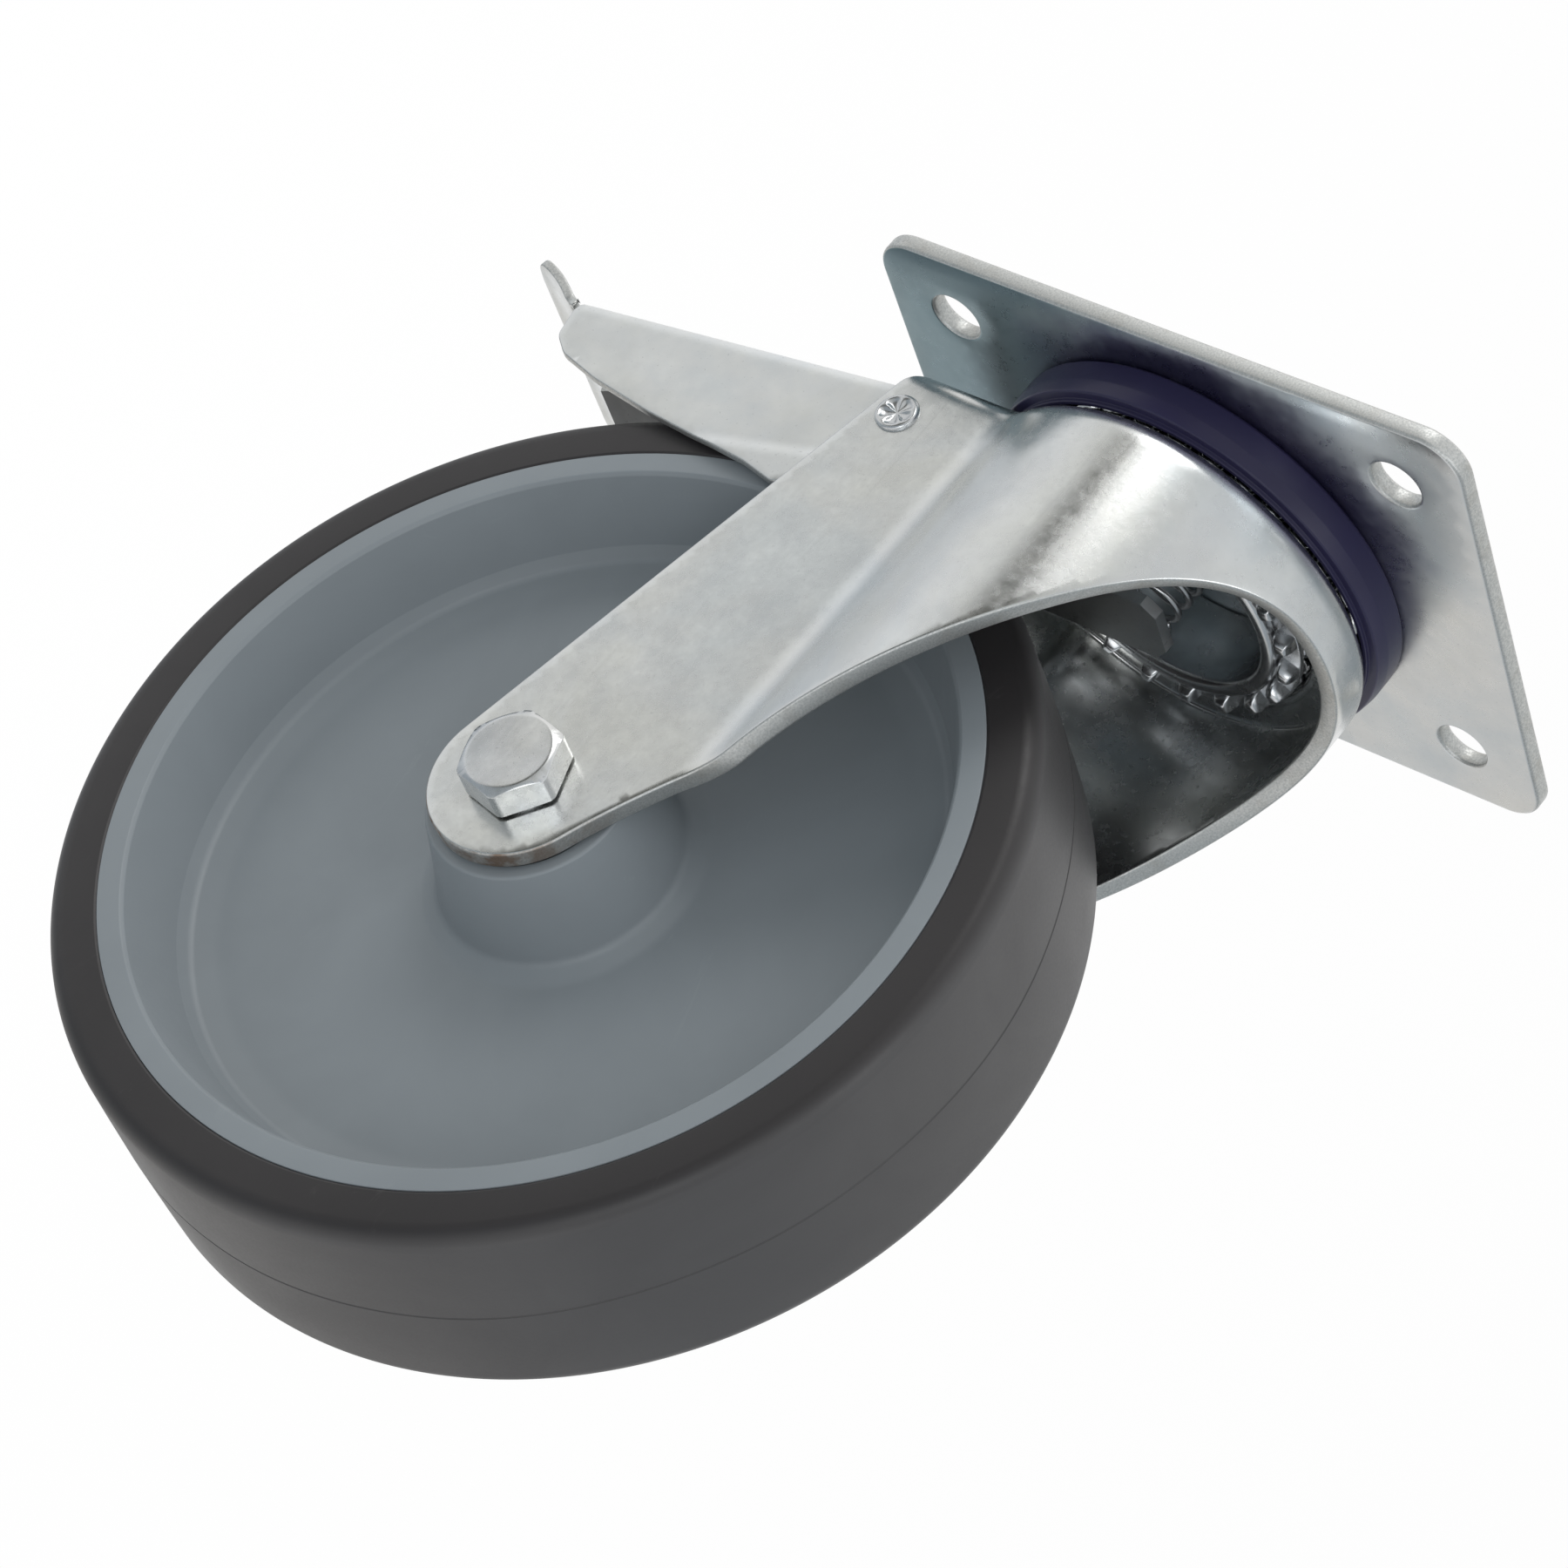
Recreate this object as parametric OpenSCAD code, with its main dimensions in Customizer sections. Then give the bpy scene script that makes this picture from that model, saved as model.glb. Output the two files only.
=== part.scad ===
// Swivel castor with a total lock, for carrying a gate or a heavy frame.
// Frame: the origin is the centre of the top plate's upper face, +Z points up out of that face,
// +X points the way the castor rolls, and the wheel trails on the -X side. Millimetres.

/* [Top plate] */
// Length of the top plate along X
plate_length = 138; // [130:1:150]
// Width of the top plate along Y
plate_width = 110; // [100:1:120]
// Thickness of the top plate
plate_thickness = 4; // [3:0.5:5]
// Corner radius of the top plate
plate_corner_r = 9; // [5:1:14]
// Bolt hole spacing along X
hole_spacing_x = 105; // [100:1:110]
// Bolt hole spacing along Y
hole_spacing_y = 77.5; // [75:0.5:82]
// Bolt hole diameter
hole_d = 11; // [9:0.5:12]

/* [Wheel] */
// Wheel diameter over the tread
wheel_d = 200; // [196:1:200]
// Width of the tread
tread_width = 50; // [46:1:50]
// Radius where the tread meets the wheel centre on the side face
rim_r = 88.6; // [86:0.2:90]
// Height from the plate's upper face to the axle
axle_drop = 132; // [131:0.5:134]
// How far the axle trails behind the swivel axis
trail = 63; // [62:0.5:64]
// Rounding of the tread's two shoulders
shoulder_r = 5.5; // [3:0.5:7]

/* [Fork] */
// Sheet thickness of the fork
fork_sheet = 4; // [3.5:0.5:4]
// Half of the width over the two legs
leg_half_width = 33; // [33:0.5:34]
// Outer radius of the round crown
crown_r = 45; // [44:0.5:45]
// Depth of the crown's top face below the plate's upper face
crown_drop = 13.4; // [13.2:0.1:14]
// Radius of the legs' rounded lower ends
leg_end_r = 19; // [18:0.5:21]
// Radius of the hollow blend between the crown and the flat leg
blend_r = 10; // [8:0.5:12]

/* [Swivel head] */
// Outer radius of the seal ring
seal_r = 45.7; // [45:0.1:46]
// Depth of the seal ring's lower edge
seal_drop = 12.5; // [11:0.1:12.6]
// Number of teeth on the lock ring
tooth_count = 20; // [16:4:20]
// Outer radius of the lock ring's teeth
tooth_tip_r = 32.8; // [32:0.2:33.2]
// Balls in the upper row
upper_ball_count = 32; // [24:1:33]
// Balls in the lower row
lower_ball_count = 30; // [24:1:34]

/* [Pedal] */
// How far the pedal turns from rest to locked, in degrees
pedal_travel = 8.5; // [8:0.1:8.5]
// Half of the width over the pedal's side walls
pedal_half_width = 28.4; // [28:0.1:28.5]
// Sheet thickness of the pedal
pedal_sheet = 2; // [1.5:0.1:2]
// Pivot position along X
pivot_x = -52.3; // [-53:0.1:-52]
// Pivot position along Z
pivot_z = -26.1; // [-26.5:0.1:-26]

/* [Hidden] */
$fn = 96;

axle_x = -trail;
axle_z = -axle_drop;
wheel_r = wheel_d / 2;
tread_half = tread_width / 2;
leg_inner = leg_half_width - fork_sheet;
crown_under = crown_drop + fork_sheet;
crown_edge_r = 5;

// Swivel head, as radii and depths below the plate's upper face
sleeve_in_r = 24;
sleeve_out_r = 26.6;
sleeve_flange_r = 33;
sleeve_flange_t = 2;
crown_hole_r = 27.1;
crown_rise = 4;
crown_rise_r = 35;
crown_recess_r = 33.3;
upper_ball_r = 3.5;
upper_row_r = 38.6;
lower_ball_r = 2.5;
lower_row_r = 30.5;
ball_gap = 0.3;
seat_gap = 0.05;
race_t = 2.1;
race_in_r = 35;
race_out_r = 42.4;
seal_t = 2;
seal_skirt = 13.4;
ring_top = crown_drop + 2 * lower_ball_r + seat_gap + ball_gap;
ring_t = 1.25;
tooth_root_r = 28;
tooth_height = 3.4;
tooth_pitch = 360 / tooth_count;
lip_r = 27.8;
lip_bottom = 22.6;
lip_round = 1;

// Axle and bearings, along Y from the wheel's middle plane
bolt_r = 6;
bolt_bore_r = 6.1;
head_af = 19;
head_h = 7.5;
bolt_tail = 46;
nut_h = 9;
insert_h = 2.6;
insert_r = 8.4;
tube_r = 8.5;
inner_ring_r = 10.6;
outer_ring_in_r = 15.4;
bearing_r = 17.5;
bearing_w = 10;
bearing_face = 27;
bearing_ball_r = 2.1;
bearing_row_r = 13;
bearing_ball_count = 10;
bearing_seal_t = 0.6;
bearing_seal_in_r = 10.9;
washer_r = 11.5;

// Wheel centre: boss, web and rim
boss_half = 28;
boss_end_r = 21;
boss_mid_r = 22.4;
web_half = 5;
web_in_r = 29;
web_out_r = 72;
rim_in_r = 83.7;
rim_wall_in_r = 78.2;
key_r = 85;
key_half = 13;
hub_bore_r = 15.5;

// Pedal outline in side view, at rest
pedal_inner = pedal_half_width - pedal_sheet;
web_rear = [-139.6, -25.2];
web_front = [-61.5, -15.4];
wall_rear_x = -139.6;
wall_heel = [-133.5, -39.1];
wall_heel_r = 6;
wall_mid = [-106, -44.4];
wall_step = [-78, -46.7];
wall_foot = [-69, -48.9];
pivot_boss_r = 8;
pin_r = 3.7;
pin_head_r = 4.6;
pin_head_h = 0.9;
lip_tip = [-156.2, -19.4];
relief_r = 1.4;

// Brake shoe and lock plate
shoe_t = 2.4;
shoe_half_width = 21;
shoe_gap = 0.4;
shoe_from = 104;
shoe_to = 126;
shoe_flange_front = -88;
shoe_flange_rear = -104;
rivet_x = -96;
rivet_y = 12;
rivet_r = 2.5;
plate_top = 27.6;
plate_bottom = 30.2;
bar_rear = -47;
bar_front = -38;
tongue_half = 8;
tongue_tip = 7;
pawl_top = 23.8;
pawl_in_r = 28.6;
pawl_out_r = 32;
pawl_width = 3.4;
spring_r = 6;
spring_wire_r = 0.7;
spring_turns = 6;

steel = [0.80, 0.81, 0.80];
steel_blue = [0.66, 0.70, 0.72];
grey_plastic = [0.50, 0.53, 0.55];
grey_rubber = [0.24, 0.23, 0.23];
navy_plastic = [0.20, 0.18, 0.28];
bright_steel = [0.86, 0.87, 0.88];
nylon = [0.85, 0.85, 0.80];

// A point on a cubic curve through four control points
function curve_at(a, b, c, d, t) =
    (1 - t) ^ 3 * a + 3 * (1 - t) ^ 2 * t * b + 3 * (1 - t) * t ^ 2 * c + t ^ 3 * d;
// A run of points along that curve
function curve(a, b, c, d, steps) = [for (i = [0:steps]) curve_at(a, b, c, d, i / steps)];
// Points on an arc about a centre
function arc(centre, r, from, to, steps) =
    [for (i = [0:steps]) let (w = from + (to - from) * i / steps) centre + r * [cos(w), sin(w)]];
// A unit vector at an angle
function toward(w) = [cos(w), sin(w)];

// Turns a flat outline drawn in X and Z into a slab between two Y values
module side_slab(y0, y1) {
    translate([0, y1, 0]) rotate([90, 0, 0]) linear_extrude(y1 - y0) children();
}

// A tube about the wheel's axis, drawn from its Y limits
module axle_ring(r_in, r_out, y0, y1) {
    translate([axle_x, y1, axle_z]) rotate([90, 0, 0]) difference() {
        cylinder(r = r_out, h = y1 - y0);
        if (r_in > 0) translate([0, 0, -1]) cylinder(r = r_in, h = y1 - y0 + 2);
    }
}

// A flat ring about the swivel axis, between two depths
module head_ring(r_in, r_out, top, bottom) {
    translate([0, 0, -bottom]) difference() {
        cylinder(r = r_out, h = bottom - top);
        translate([0, 0, -1]) cylinder(r = r_in, h = bottom - top + 2);
    }
}

module hexagon(across_flats) {
    circle(r = across_flats / sqrt(3), $fn = 6);
}

// ---- Pieces fixed to the top plate ----

module plate_outline() {
    inner_x = plate_length / 2 - plate_corner_r;
    inner_y = plate_width / 2 - plate_corner_r;
    square([plate_length, 2 * inner_y], center = true);
    square([2 * inner_x, plate_width], center = true);
    for (sx = [-1, 1], sy = [-1, 1]) translate([sx * inner_x, sy * inner_y]) circle(r = plate_corner_r);
}

module top_plate() {
    color(steel_blue) difference() {
        translate([0, 0, -plate_thickness]) linear_extrude(plate_thickness) plate_outline();
        for (sx = [-1, 1], sy = [-1, 1])
            translate([sx * hole_spacing_x / 2, sy * hole_spacing_y / 2, -plate_thickness - 1])
                cylinder(d = hole_d, h = plate_thickness + 2);
    }
}

// Hollow pin: a flange against the plate, a sleeve through the crown and a rolled lip below
module king_pin() {
    flange_bottom = plate_thickness + sleeve_flange_t;
    color(bright_steel) rotate_extrude() polygon(concat(
        [[sleeve_in_r, -plate_thickness], [sleeve_flange_r, -plate_thickness],
            [sleeve_flange_r, -flange_bottom], [sleeve_out_r, -flange_bottom],
            [sleeve_out_r, -ring_top - ring_t], [lip_r, -ring_top - ring_t]],
        arc([lip_r - lip_round, -lip_bottom + lip_round], lip_round, 0, -90, 6),
        arc([sleeve_in_r + lip_round, -lip_bottom + lip_round], lip_round, -90, -180, 6)));
}

// Lower race with the ring of teeth that the lock plate engages
module lock_ring() {
    color(bright_steel) {
        head_ring(sleeve_out_r, tooth_tip_r, ring_top, ring_top + ring_t);
        // the teeth reach a little into the ring above them
        for (i = [0:tooth_count - 1]) rotate(i * tooth_pitch) lock_tooth();
    }
}

module lock_tooth() {
    bottom = ring_top + ring_t + tooth_height;
    translate([0, 0, -bottom]) linear_extrude(tooth_height + 0.4)
        polygon([[tooth_root_r, -2.2], [tooth_tip_r - 0.5, -1.6], [tooth_tip_r - 0.5, 1.6], [tooth_root_r, 2.2]]);
}

module upper_race() {
    color(bright_steel) head_ring(race_in_r, race_out_r, plate_thickness, plate_thickness + race_t);
}

module seal_ring() {
    color(navy_plastic) rotate_extrude() polygon(concat(
        [[seal_r - seal_t, -plate_thickness], [seal_r - 0.6, -plate_thickness]],
        arc([seal_r - 8, -plate_thickness - 3.6], 8, 20, -34, 10),
        [[seal_r - seal_t - 0.4, -seal_drop], [seal_r - seal_t - 0.4, -seal_skirt],
            [seal_r - seal_t - 1.4, -seal_skirt], [seal_r - seal_t - 1.4, -seal_drop + 1.2],
            [seal_r - seal_t, -seal_drop + 3]]));
}

// ---- Fork and the pieces that swivel with it ----

// Plan of the fork: a round crown, two flat legs and a hollow blend between them
module fork_plan(inset) {
    r = crown_r - inset;
    half = leg_half_width - inset;
    blend = blend_r + inset;
    blend_y = leg_half_width + blend_r;
    reach = crown_r + blend_r;
    blend_x = -sqrt(reach * reach - blend_y * blend_y);
    circle(r = r, $fn = 160);
    translate([-120, -half]) square([120, 2 * half]);
    for (s = [-1, 1]) difference() {
        polygon([[blend_x, s * half], [blend_x * r / reach, s * blend_y * r / reach], [-15, s * 20]]);
        translate([blend_x, s * blend_y]) circle(r = blend, $fn = 160);
    }
}

// Side view of the fork: rounded leg ends, the swept front arch and the raked rear edge
module fork_side() {
    axle = [axle_x, axle_z];
    front_low = axle + leg_end_r * toward(-24.2);
    front_mid = [14, -54.8];
    front_top = [47.5, -25.6];
    rear_low = axle + leg_end_r * toward(167.6);
    rear_high = [-57.6, -19.5];
    polygon(concat(
        arc(axle, leg_end_r, 167.6, 335.8, 18),
        curve(front_low, front_low + 28.9 * toward(65.8), front_mid - 32.5 * toward(52.5), front_mid, 12),
        curve(front_mid, front_mid + 16.5 * toward(52.5), [36.5, -25.7], front_top, 10),
        [[60, -25.6], [60, 0], [-49, 0], [-49, -crown_drop]],
        curve([-49, -crown_drop], [-54, -crown_drop], [-56.8, -16], rear_high, 6)));
}

module fork() {
    color(steel) difference() {
        union() {
            intersection() {
                translate([0, 0, -axle_drop - leg_end_r - 2])
                    linear_extrude(axle_drop + leg_end_r + 2 - crown_drop) fork_plan(0);
                side_slab(-60, 60) fork_side();
                crown_rounding();
            }
            head_ring(crown_hole_r, crown_rise_r, crown_drop - crown_rise, crown_under);
        }
        translate([0, 0, -axle_drop - leg_end_r - 3])
            linear_extrude(axle_drop + leg_end_r + 3 - crown_under) fork_plan(fork_sheet);
        translate([0, 0, -crown_under - 1]) cylinder(r = crown_hole_r, h = crown_under);
        translate([0, 0, -crown_under - 1]) cylinder(r = crown_recess_r, h = fork_sheet + 1);
        side_bore(axle_x, axle_z, bolt_bore_r);
        side_bore(pivot_x, pivot_z, pin_r);
    }
}

// Rounds the fork's upper outside edge, round the crown and along the two legs
module crown_rounding() {
    top = -crown_drop;
    r = crown_edge_r;
    leg_z = axle_drop + leg_end_r + 10;
    corner = curve([0, 0], [0.45 * r, 0], [r, -0.55 * r], [r, -r], 8);
    rotate_extrude($fn = 160) polygon(concat(
        [[0, -leg_z], [crown_r + 5, -leg_z], [crown_r + 5, top - r]],
        [for (i = [8:-1:0]) [crown_r - r, top] + corner[i]],
        [[0, top]]));
    translate([-30, 0, 0]) rotate([90, 0, -90]) linear_extrude(70) polygon(concat(
        [[-leg_half_width - 5, -leg_z], [leg_half_width + 5, -leg_z], [leg_half_width + 5, top - r]],
        [for (i = [8:-1:0]) [leg_half_width - r, top] + corner[i]],
        [for (i = [0:8]) [-leg_half_width + r - corner[i][0], top + corner[i][1]]],
        [[-leg_half_width - 5, top - r]]));
    translate([-120, -60, -leg_z]) cube([120, 120, leg_z + top - r]);
}

// A bore through both legs
module side_bore(x, z, r) {
    translate([x, 60, z]) rotate([90, 0, 0]) cylinder(r = r, h = 120);
}

module ball_row(count, row_r, ball_r, depth) {
    for (i = [0:count - 1]) rotate(i * 360 / count) translate([row_r, 0, -depth]) sphere(r = ball_r, $fn = 24);
}

module upper_balls() {
    color(bright_steel) ball_row(upper_ball_count, upper_row_r, upper_ball_r,
        crown_drop - upper_ball_r - seat_gap);
}

module lower_balls() {
    color(bright_steel) ball_row(lower_ball_count, lower_row_r, lower_ball_r,
        crown_drop + lower_ball_r + seat_gap);
}

module axle_bolt() {
    color(steel) {
        translate([axle_x, -leg_half_width, axle_z]) rotate([90, 0, 0]) rotate(50)
            linear_extrude(head_h) hexagon(head_af);
        axle_ring(0, bolt_r, -leg_half_width - 1, bolt_tail);
    }
}

module axle_nut() {
    color(steel) translate([axle_x, leg_half_width + nut_h, axle_z]) rotate([90, 0, 0]) difference() {
        linear_extrude(nut_h) hexagon(head_af);
        translate([0, 0, -1]) cylinder(r = bolt_r, h = nut_h + 2);
    }
}

module nut_insert() {
    color(nylon) axle_ring(bolt_r, insert_r, leg_half_width + nut_h, leg_half_width + nut_h + insert_h);
}

module axle_tube() {
    color(bright_steel) axle_ring(bolt_bore_r, tube_r, -leg_inner, leg_inner);
}

module bearing_spacer() {
    color(bright_steel) axle_ring(tube_r, inner_ring_r, bearing_w - bearing_face, bearing_face - bearing_w);
}

// One washer each side, between the bearing's inner ring and the leg
module side_washers() {
    color(bright_steel) {
        axle_ring(tube_r, washer_r, -leg_inner, -bearing_face);
        axle_ring(tube_r, washer_r, bearing_face, leg_inner);
    }
}

// Y limits of a bearing: side is -1 for the near one and 1 for the far one
function bearing_low(side) = side < 0 ? -bearing_face : bearing_face - bearing_w;

module bearing_ring(side, r_in, r_out) {
    axle_ring(r_in, r_out, bearing_low(side), bearing_low(side) + bearing_w);
}

module near_inner_ring() {
    color(bright_steel) bearing_ring(-1, tube_r, inner_ring_r);
}

module far_inner_ring() {
    color(bright_steel) bearing_ring(1, tube_r, inner_ring_r);
}

// Pin through both legs and the pedal, with its ends upset into round heads
module pivot_pin() {
    color(steel) {
        side_bore_pin(pivot_x, pivot_z, pin_r, leg_half_width);
        for (s = [-1, 1]) translate([pivot_x, s * leg_half_width, pivot_z]) rotate([-90 * s, 0, 0])
            cylinder(r = pin_head_r, h = pin_head_h);
    }
}

module side_bore_pin(x, z, r, half) {
    translate([x, half, z]) rotate([90, 0, 0]) cylinder(r = r, h = 2 * half);
}

// Coil spring in the hollow king pin that holds the lock plate down
module lock_spring() {
    sides = 8;
    steps = 18;
    top = plate_thickness + 0.1 + spring_wire_r;
    bottom = plate_top - 0.1 - spring_wire_r;
    last = spring_turns * steps;
    points = [for (i = [0:last]) let (w = 360 * i / steps, z = -bottom + (bottom - top) * i / last)
        for (k = [0:sides - 1]) let (r = spring_r + spring_wire_r * cos(360 * k / sides))
            [r * cos(w), r * sin(w), z + spring_wire_r * sin(360 * k / sides)]];
    sides_faces = [for (i = [0:last - 1], k = [0:sides - 1]) let (n = (k + 1) % sides)
        [i * sides + k, i * sides + n, (i + 1) * sides + n, (i + 1) * sides + k]];
    caps = [[for (k = [sides - 1:-1:0]) k], [for (k = [0:sides - 1]) last * sides + k]];
    color(bright_steel) polyhedron(points, concat(sides_faces, caps));
}

// ---- Wheel ----

// A closed outline from its upper half, mirrored about the wheel's middle plane
function both_halves(half) = concat(half, [for (i = [len(half) - 1:-1:0]) [half[i][0], -half[i][1]]]);

// Section of the wheel centre: radius across, distance from the middle plane up
module wheel_section() {
    polygon(both_halves(concat(
        [[hub_bore_r, bearing_face - bearing_w], [bearing_r, bearing_face - bearing_w],
            [bearing_r, boss_half], [boss_end_r, boss_half], [boss_mid_r, 20]],
        curve([boss_mid_r + 1.4, 13], [boss_mid_r + 2.4, 8], [web_in_r - 3, web_half + 0.4], [web_in_r, web_half], 6),
        curve([web_out_r, web_half], [web_out_r + 3.4, web_half], [rim_wall_in_r - 1.2, 5.8], [rim_wall_in_r, 8.8], 6),
        [[rim_in_r - 0.6, tread_half - 0.8], [rim_in_r, tread_half], [rim_r, tread_half],
            [rim_r, key_half + 2], [key_r, key_half]])));
}

module about_axle() {
    translate([axle_x, 0, axle_z]) rotate([90, 0, 0]) rotate_extrude($fn = 160) children();
}

module wheel_centre() {
    color(grey_plastic) about_axle() wheel_section();
}

module tread() {
    shoulder = [wheel_r - shoulder_r, tread_half - shoulder_r];
    color(grey_rubber) about_axle() polygon(both_halves(concat(
        [[key_r, key_half], [rim_r, key_half + 2], [rim_r, tread_half]],
        arc(shoulder, shoulder_r, 90, 0, 8))));
}

module near_outer_ring() {
    color(bright_steel) bearing_ring(-1, outer_ring_in_r, bearing_r);
}

module far_outer_ring() {
    color(bright_steel) bearing_ring(1, outer_ring_in_r, bearing_r);
}

module bearing_balls(side) {
    for (i = [0:bearing_ball_count - 1])
        translate([axle_x, bearing_low(side) + bearing_w / 2, axle_z]) rotate([0, i * 360 / bearing_ball_count, 0])
            translate([bearing_row_r, 0, 0]) sphere(r = bearing_ball_r, $fn = 24);
}

module near_bearing_balls() {
    color(bright_steel) bearing_balls(-1);
}

module far_bearing_balls() {
    color(bright_steel) bearing_balls(1);
}

// The two rubber seals of one bearing
module bearing_seals(side) {
    low = bearing_low(side);
    axle_ring(bearing_seal_in_r, outer_ring_in_r, low + 0.4, low + 0.4 + bearing_seal_t);
    axle_ring(bearing_seal_in_r, outer_ring_in_r, low + bearing_w - 0.4 - bearing_seal_t, low + bearing_w - 0.4);
}

module near_bearing_seals() {
    color(grey_rubber) bearing_seals(-1);
}

module far_bearing_seals() {
    color(grey_rubber) bearing_seals(1);
}

// ---- Pedal and the pieces that turn with it ----

// Side wall: nose, lower edge, foot inside the fork, and the round ear on the pivot
module pedal_wall_side() {
    pivot = [pivot_x, pivot_z];
    heel_top = [wall_rear_x, wall_heel[1] + wall_heel_r];
    polygon(concat(
        [web_rear],
        curve(heel_top, heel_top - [0, 4], wall_heel - [4, -0.6], wall_heel, 6),
        [[-122.4, -42.1], wall_mid, wall_step, wall_foot, [-60, -43.6], [bar_front, -32], [bar_front, -25.2]],
        arc(pivot, pivot_boss_r, 8, 116, 10),
        [[-58.4, -18.6], web_front]));
}

// The top sheet of the channel and the lip turned up behind it
module pedal_web_side() {
    down = [0, -pedal_sheet];
    bend = [-145.5, -22.4];
    top = curve(web_rear, web_rear - [3, 0.2], bend + [1.6, -1.4], bend, 5);
    tip = curve(bend, bend + [-3, 2.2], lip_tip + [5, -0.2], lip_tip, 5);
    back = curve(lip_tip + down, lip_tip + down + [5, -0.2], bend + down + [-2, 1.4], bend + down + [1, 0], 5);
    under = curve(bend + down + [1, 0], bend + down + [2.6, -1.4], web_rear + down - [2, 0.2], web_rear + down, 5);
    polygon(concat([web_front], top, tip, back, under, [web_front + down]));
}

module pedal() {
    color(steel) difference() {
        union() {
            for (s = [-1, 1]) side_slab(min(s * pedal_inner, s * pedal_half_width),
                max(s * pedal_inner, s * pedal_half_width)) pedal_wall_side();
            side_slab(-pedal_half_width, pedal_half_width) pedal_web_side();
        }
        side_bore(pivot_x, pivot_z, pin_r + 0.05);
        for (s = [-1, 1]) {
            translate([-143.2, s * (pedal_half_width - 2.6), -40]) cylinder(r = relief_r, h = 40);
            at_rivet(s) translate([0, 0, -20]) cylinder(r = rivet_r, h = 40);
            lip_corner(s);
        }
    }
}

// Cuts one corner of the lip to a round one
module lip_corner(s) {
    corner_r = 7;
    x = lip_tip[0] + corner_r;
    y = s * (pedal_half_width - corner_r);
    translate([x, y, -40]) difference() {
        translate([-corner_r - 3, s > 0 ? 0 : -corner_r - 3, 0]) cube([corner_r + 3, corner_r + 3, 40]);
        translate([0, 0, -1]) cylinder(r = corner_r, h = 42);
    }
}

// Slope of the pedal's web, and the depth of its underside at a place along X
web_slope = (web_front[1] - web_rear[1]) / (web_front[0] - web_rear[0]);
function web_under(x) = web_rear[1] + web_slope * (x - web_rear[0]) - pedal_sheet;

// Turns a shape given in the locked position back to its place at rest
module at_rest() {
    translate([pivot_x, 0, pivot_z]) rotate([0, pedal_travel, 0]) translate([-pivot_x, 0, -pivot_z]) children();
}

// A strip that lies along the tread when the pedal is down, with its flange under the web
module brake_shoe() {
    r = wheel_r + shoe_gap;
    axle = [axle_x, axle_z];
    color(bright_steel) difference() {
        union() {
            at_rest() side_slab(-shoe_half_width, shoe_half_width)
                polygon(concat(arc(axle, r, shoe_from, shoe_to, 12), arc(axle, r + shoe_t, shoe_to, shoe_from, 12)));
            side_slab(-shoe_half_width, shoe_half_width) polygon([
                [shoe_flange_front - 2.6, -28.6], [shoe_flange_front, -28.4],
                [shoe_flange_front, web_under(shoe_flange_front)],
                [shoe_flange_rear, web_under(shoe_flange_rear)],
                [shoe_flange_rear, web_under(shoe_flange_rear) - shoe_t],
                [shoe_flange_front - 2.6, web_under(shoe_flange_front) - shoe_t - 0.4]]);
        }
        for (s = [-1, 1]) at_rivet(s) translate([0, 0, -20]) cylinder(r = rivet_r, h = 40);
    }
}

// Turns a shape so that it stands square on the web's upper face at one rivet
module at_rivet(s) {
    translate([rivet_x, s * rivet_y, web_under(rivet_x) + pedal_sheet]) rotate([0, -atan(web_slope), 0]) children();
}

module shoe_rivets() {
    stack = pedal_sheet + shoe_t;
    color(bright_steel) for (s = [-1, 1]) at_rivet(s) {
        translate([0, 0, -stack - 0.9]) cylinder(r = rivet_r, h = stack + 1.4);
        translate([0, 0, 0.05]) cylinder(r = rivet_r + 1.6, h = 1.2);
    }
}

// Cross bar between the pedal's walls with a tongue and two pawls under the lock ring
module lock_plate() {
    color(steel_blue) {
        translate([0, 0, -plate_bottom]) linear_extrude(plate_bottom - plate_top) {
            translate([bar_rear, -pedal_inner]) square([bar_front - bar_rear, 2 * pedal_inner]);
            polygon([[bar_front - 1, -16], [-26, -tongue_half], [tongue_tip - 3, -tongue_half],
                [tongue_tip, -tongue_half + 3], [tongue_tip, tongue_half - 3],
                [tongue_tip - 3, tongue_half], [-26, tongue_half], [bar_front - 1, 16]]);
        }
        for (s = [-1, 1]) rotate(180 + s * tooth_pitch / 2)
            translate([pawl_in_r, -pawl_width / 2, -plate_top - 0.01])
                cube([pawl_out_r - pawl_in_r, pawl_width, plate_top - pawl_top]);
    }
}

top_plate();
king_pin();
lock_ring();
upper_race();
seal_ring();
fork();
upper_balls();
lower_balls();
axle_bolt();
axle_nut();
nut_insert();
axle_tube();
bearing_spacer();
side_washers();
near_inner_ring();
far_inner_ring();
pivot_pin();
lock_spring();
wheel_centre();
tread();
near_outer_ring();
far_outer_ring();
near_bearing_balls();
far_bearing_balls();
near_bearing_seals();
far_bearing_seals();
pedal();
brake_shoe();
shoe_rivets();
lock_plate();
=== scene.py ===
import bpy
import bmesh
import math
import numpy as np
from mathutils import Matrix, Vector
from mathutils.geometry import delaunay_2d_cdt


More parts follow.
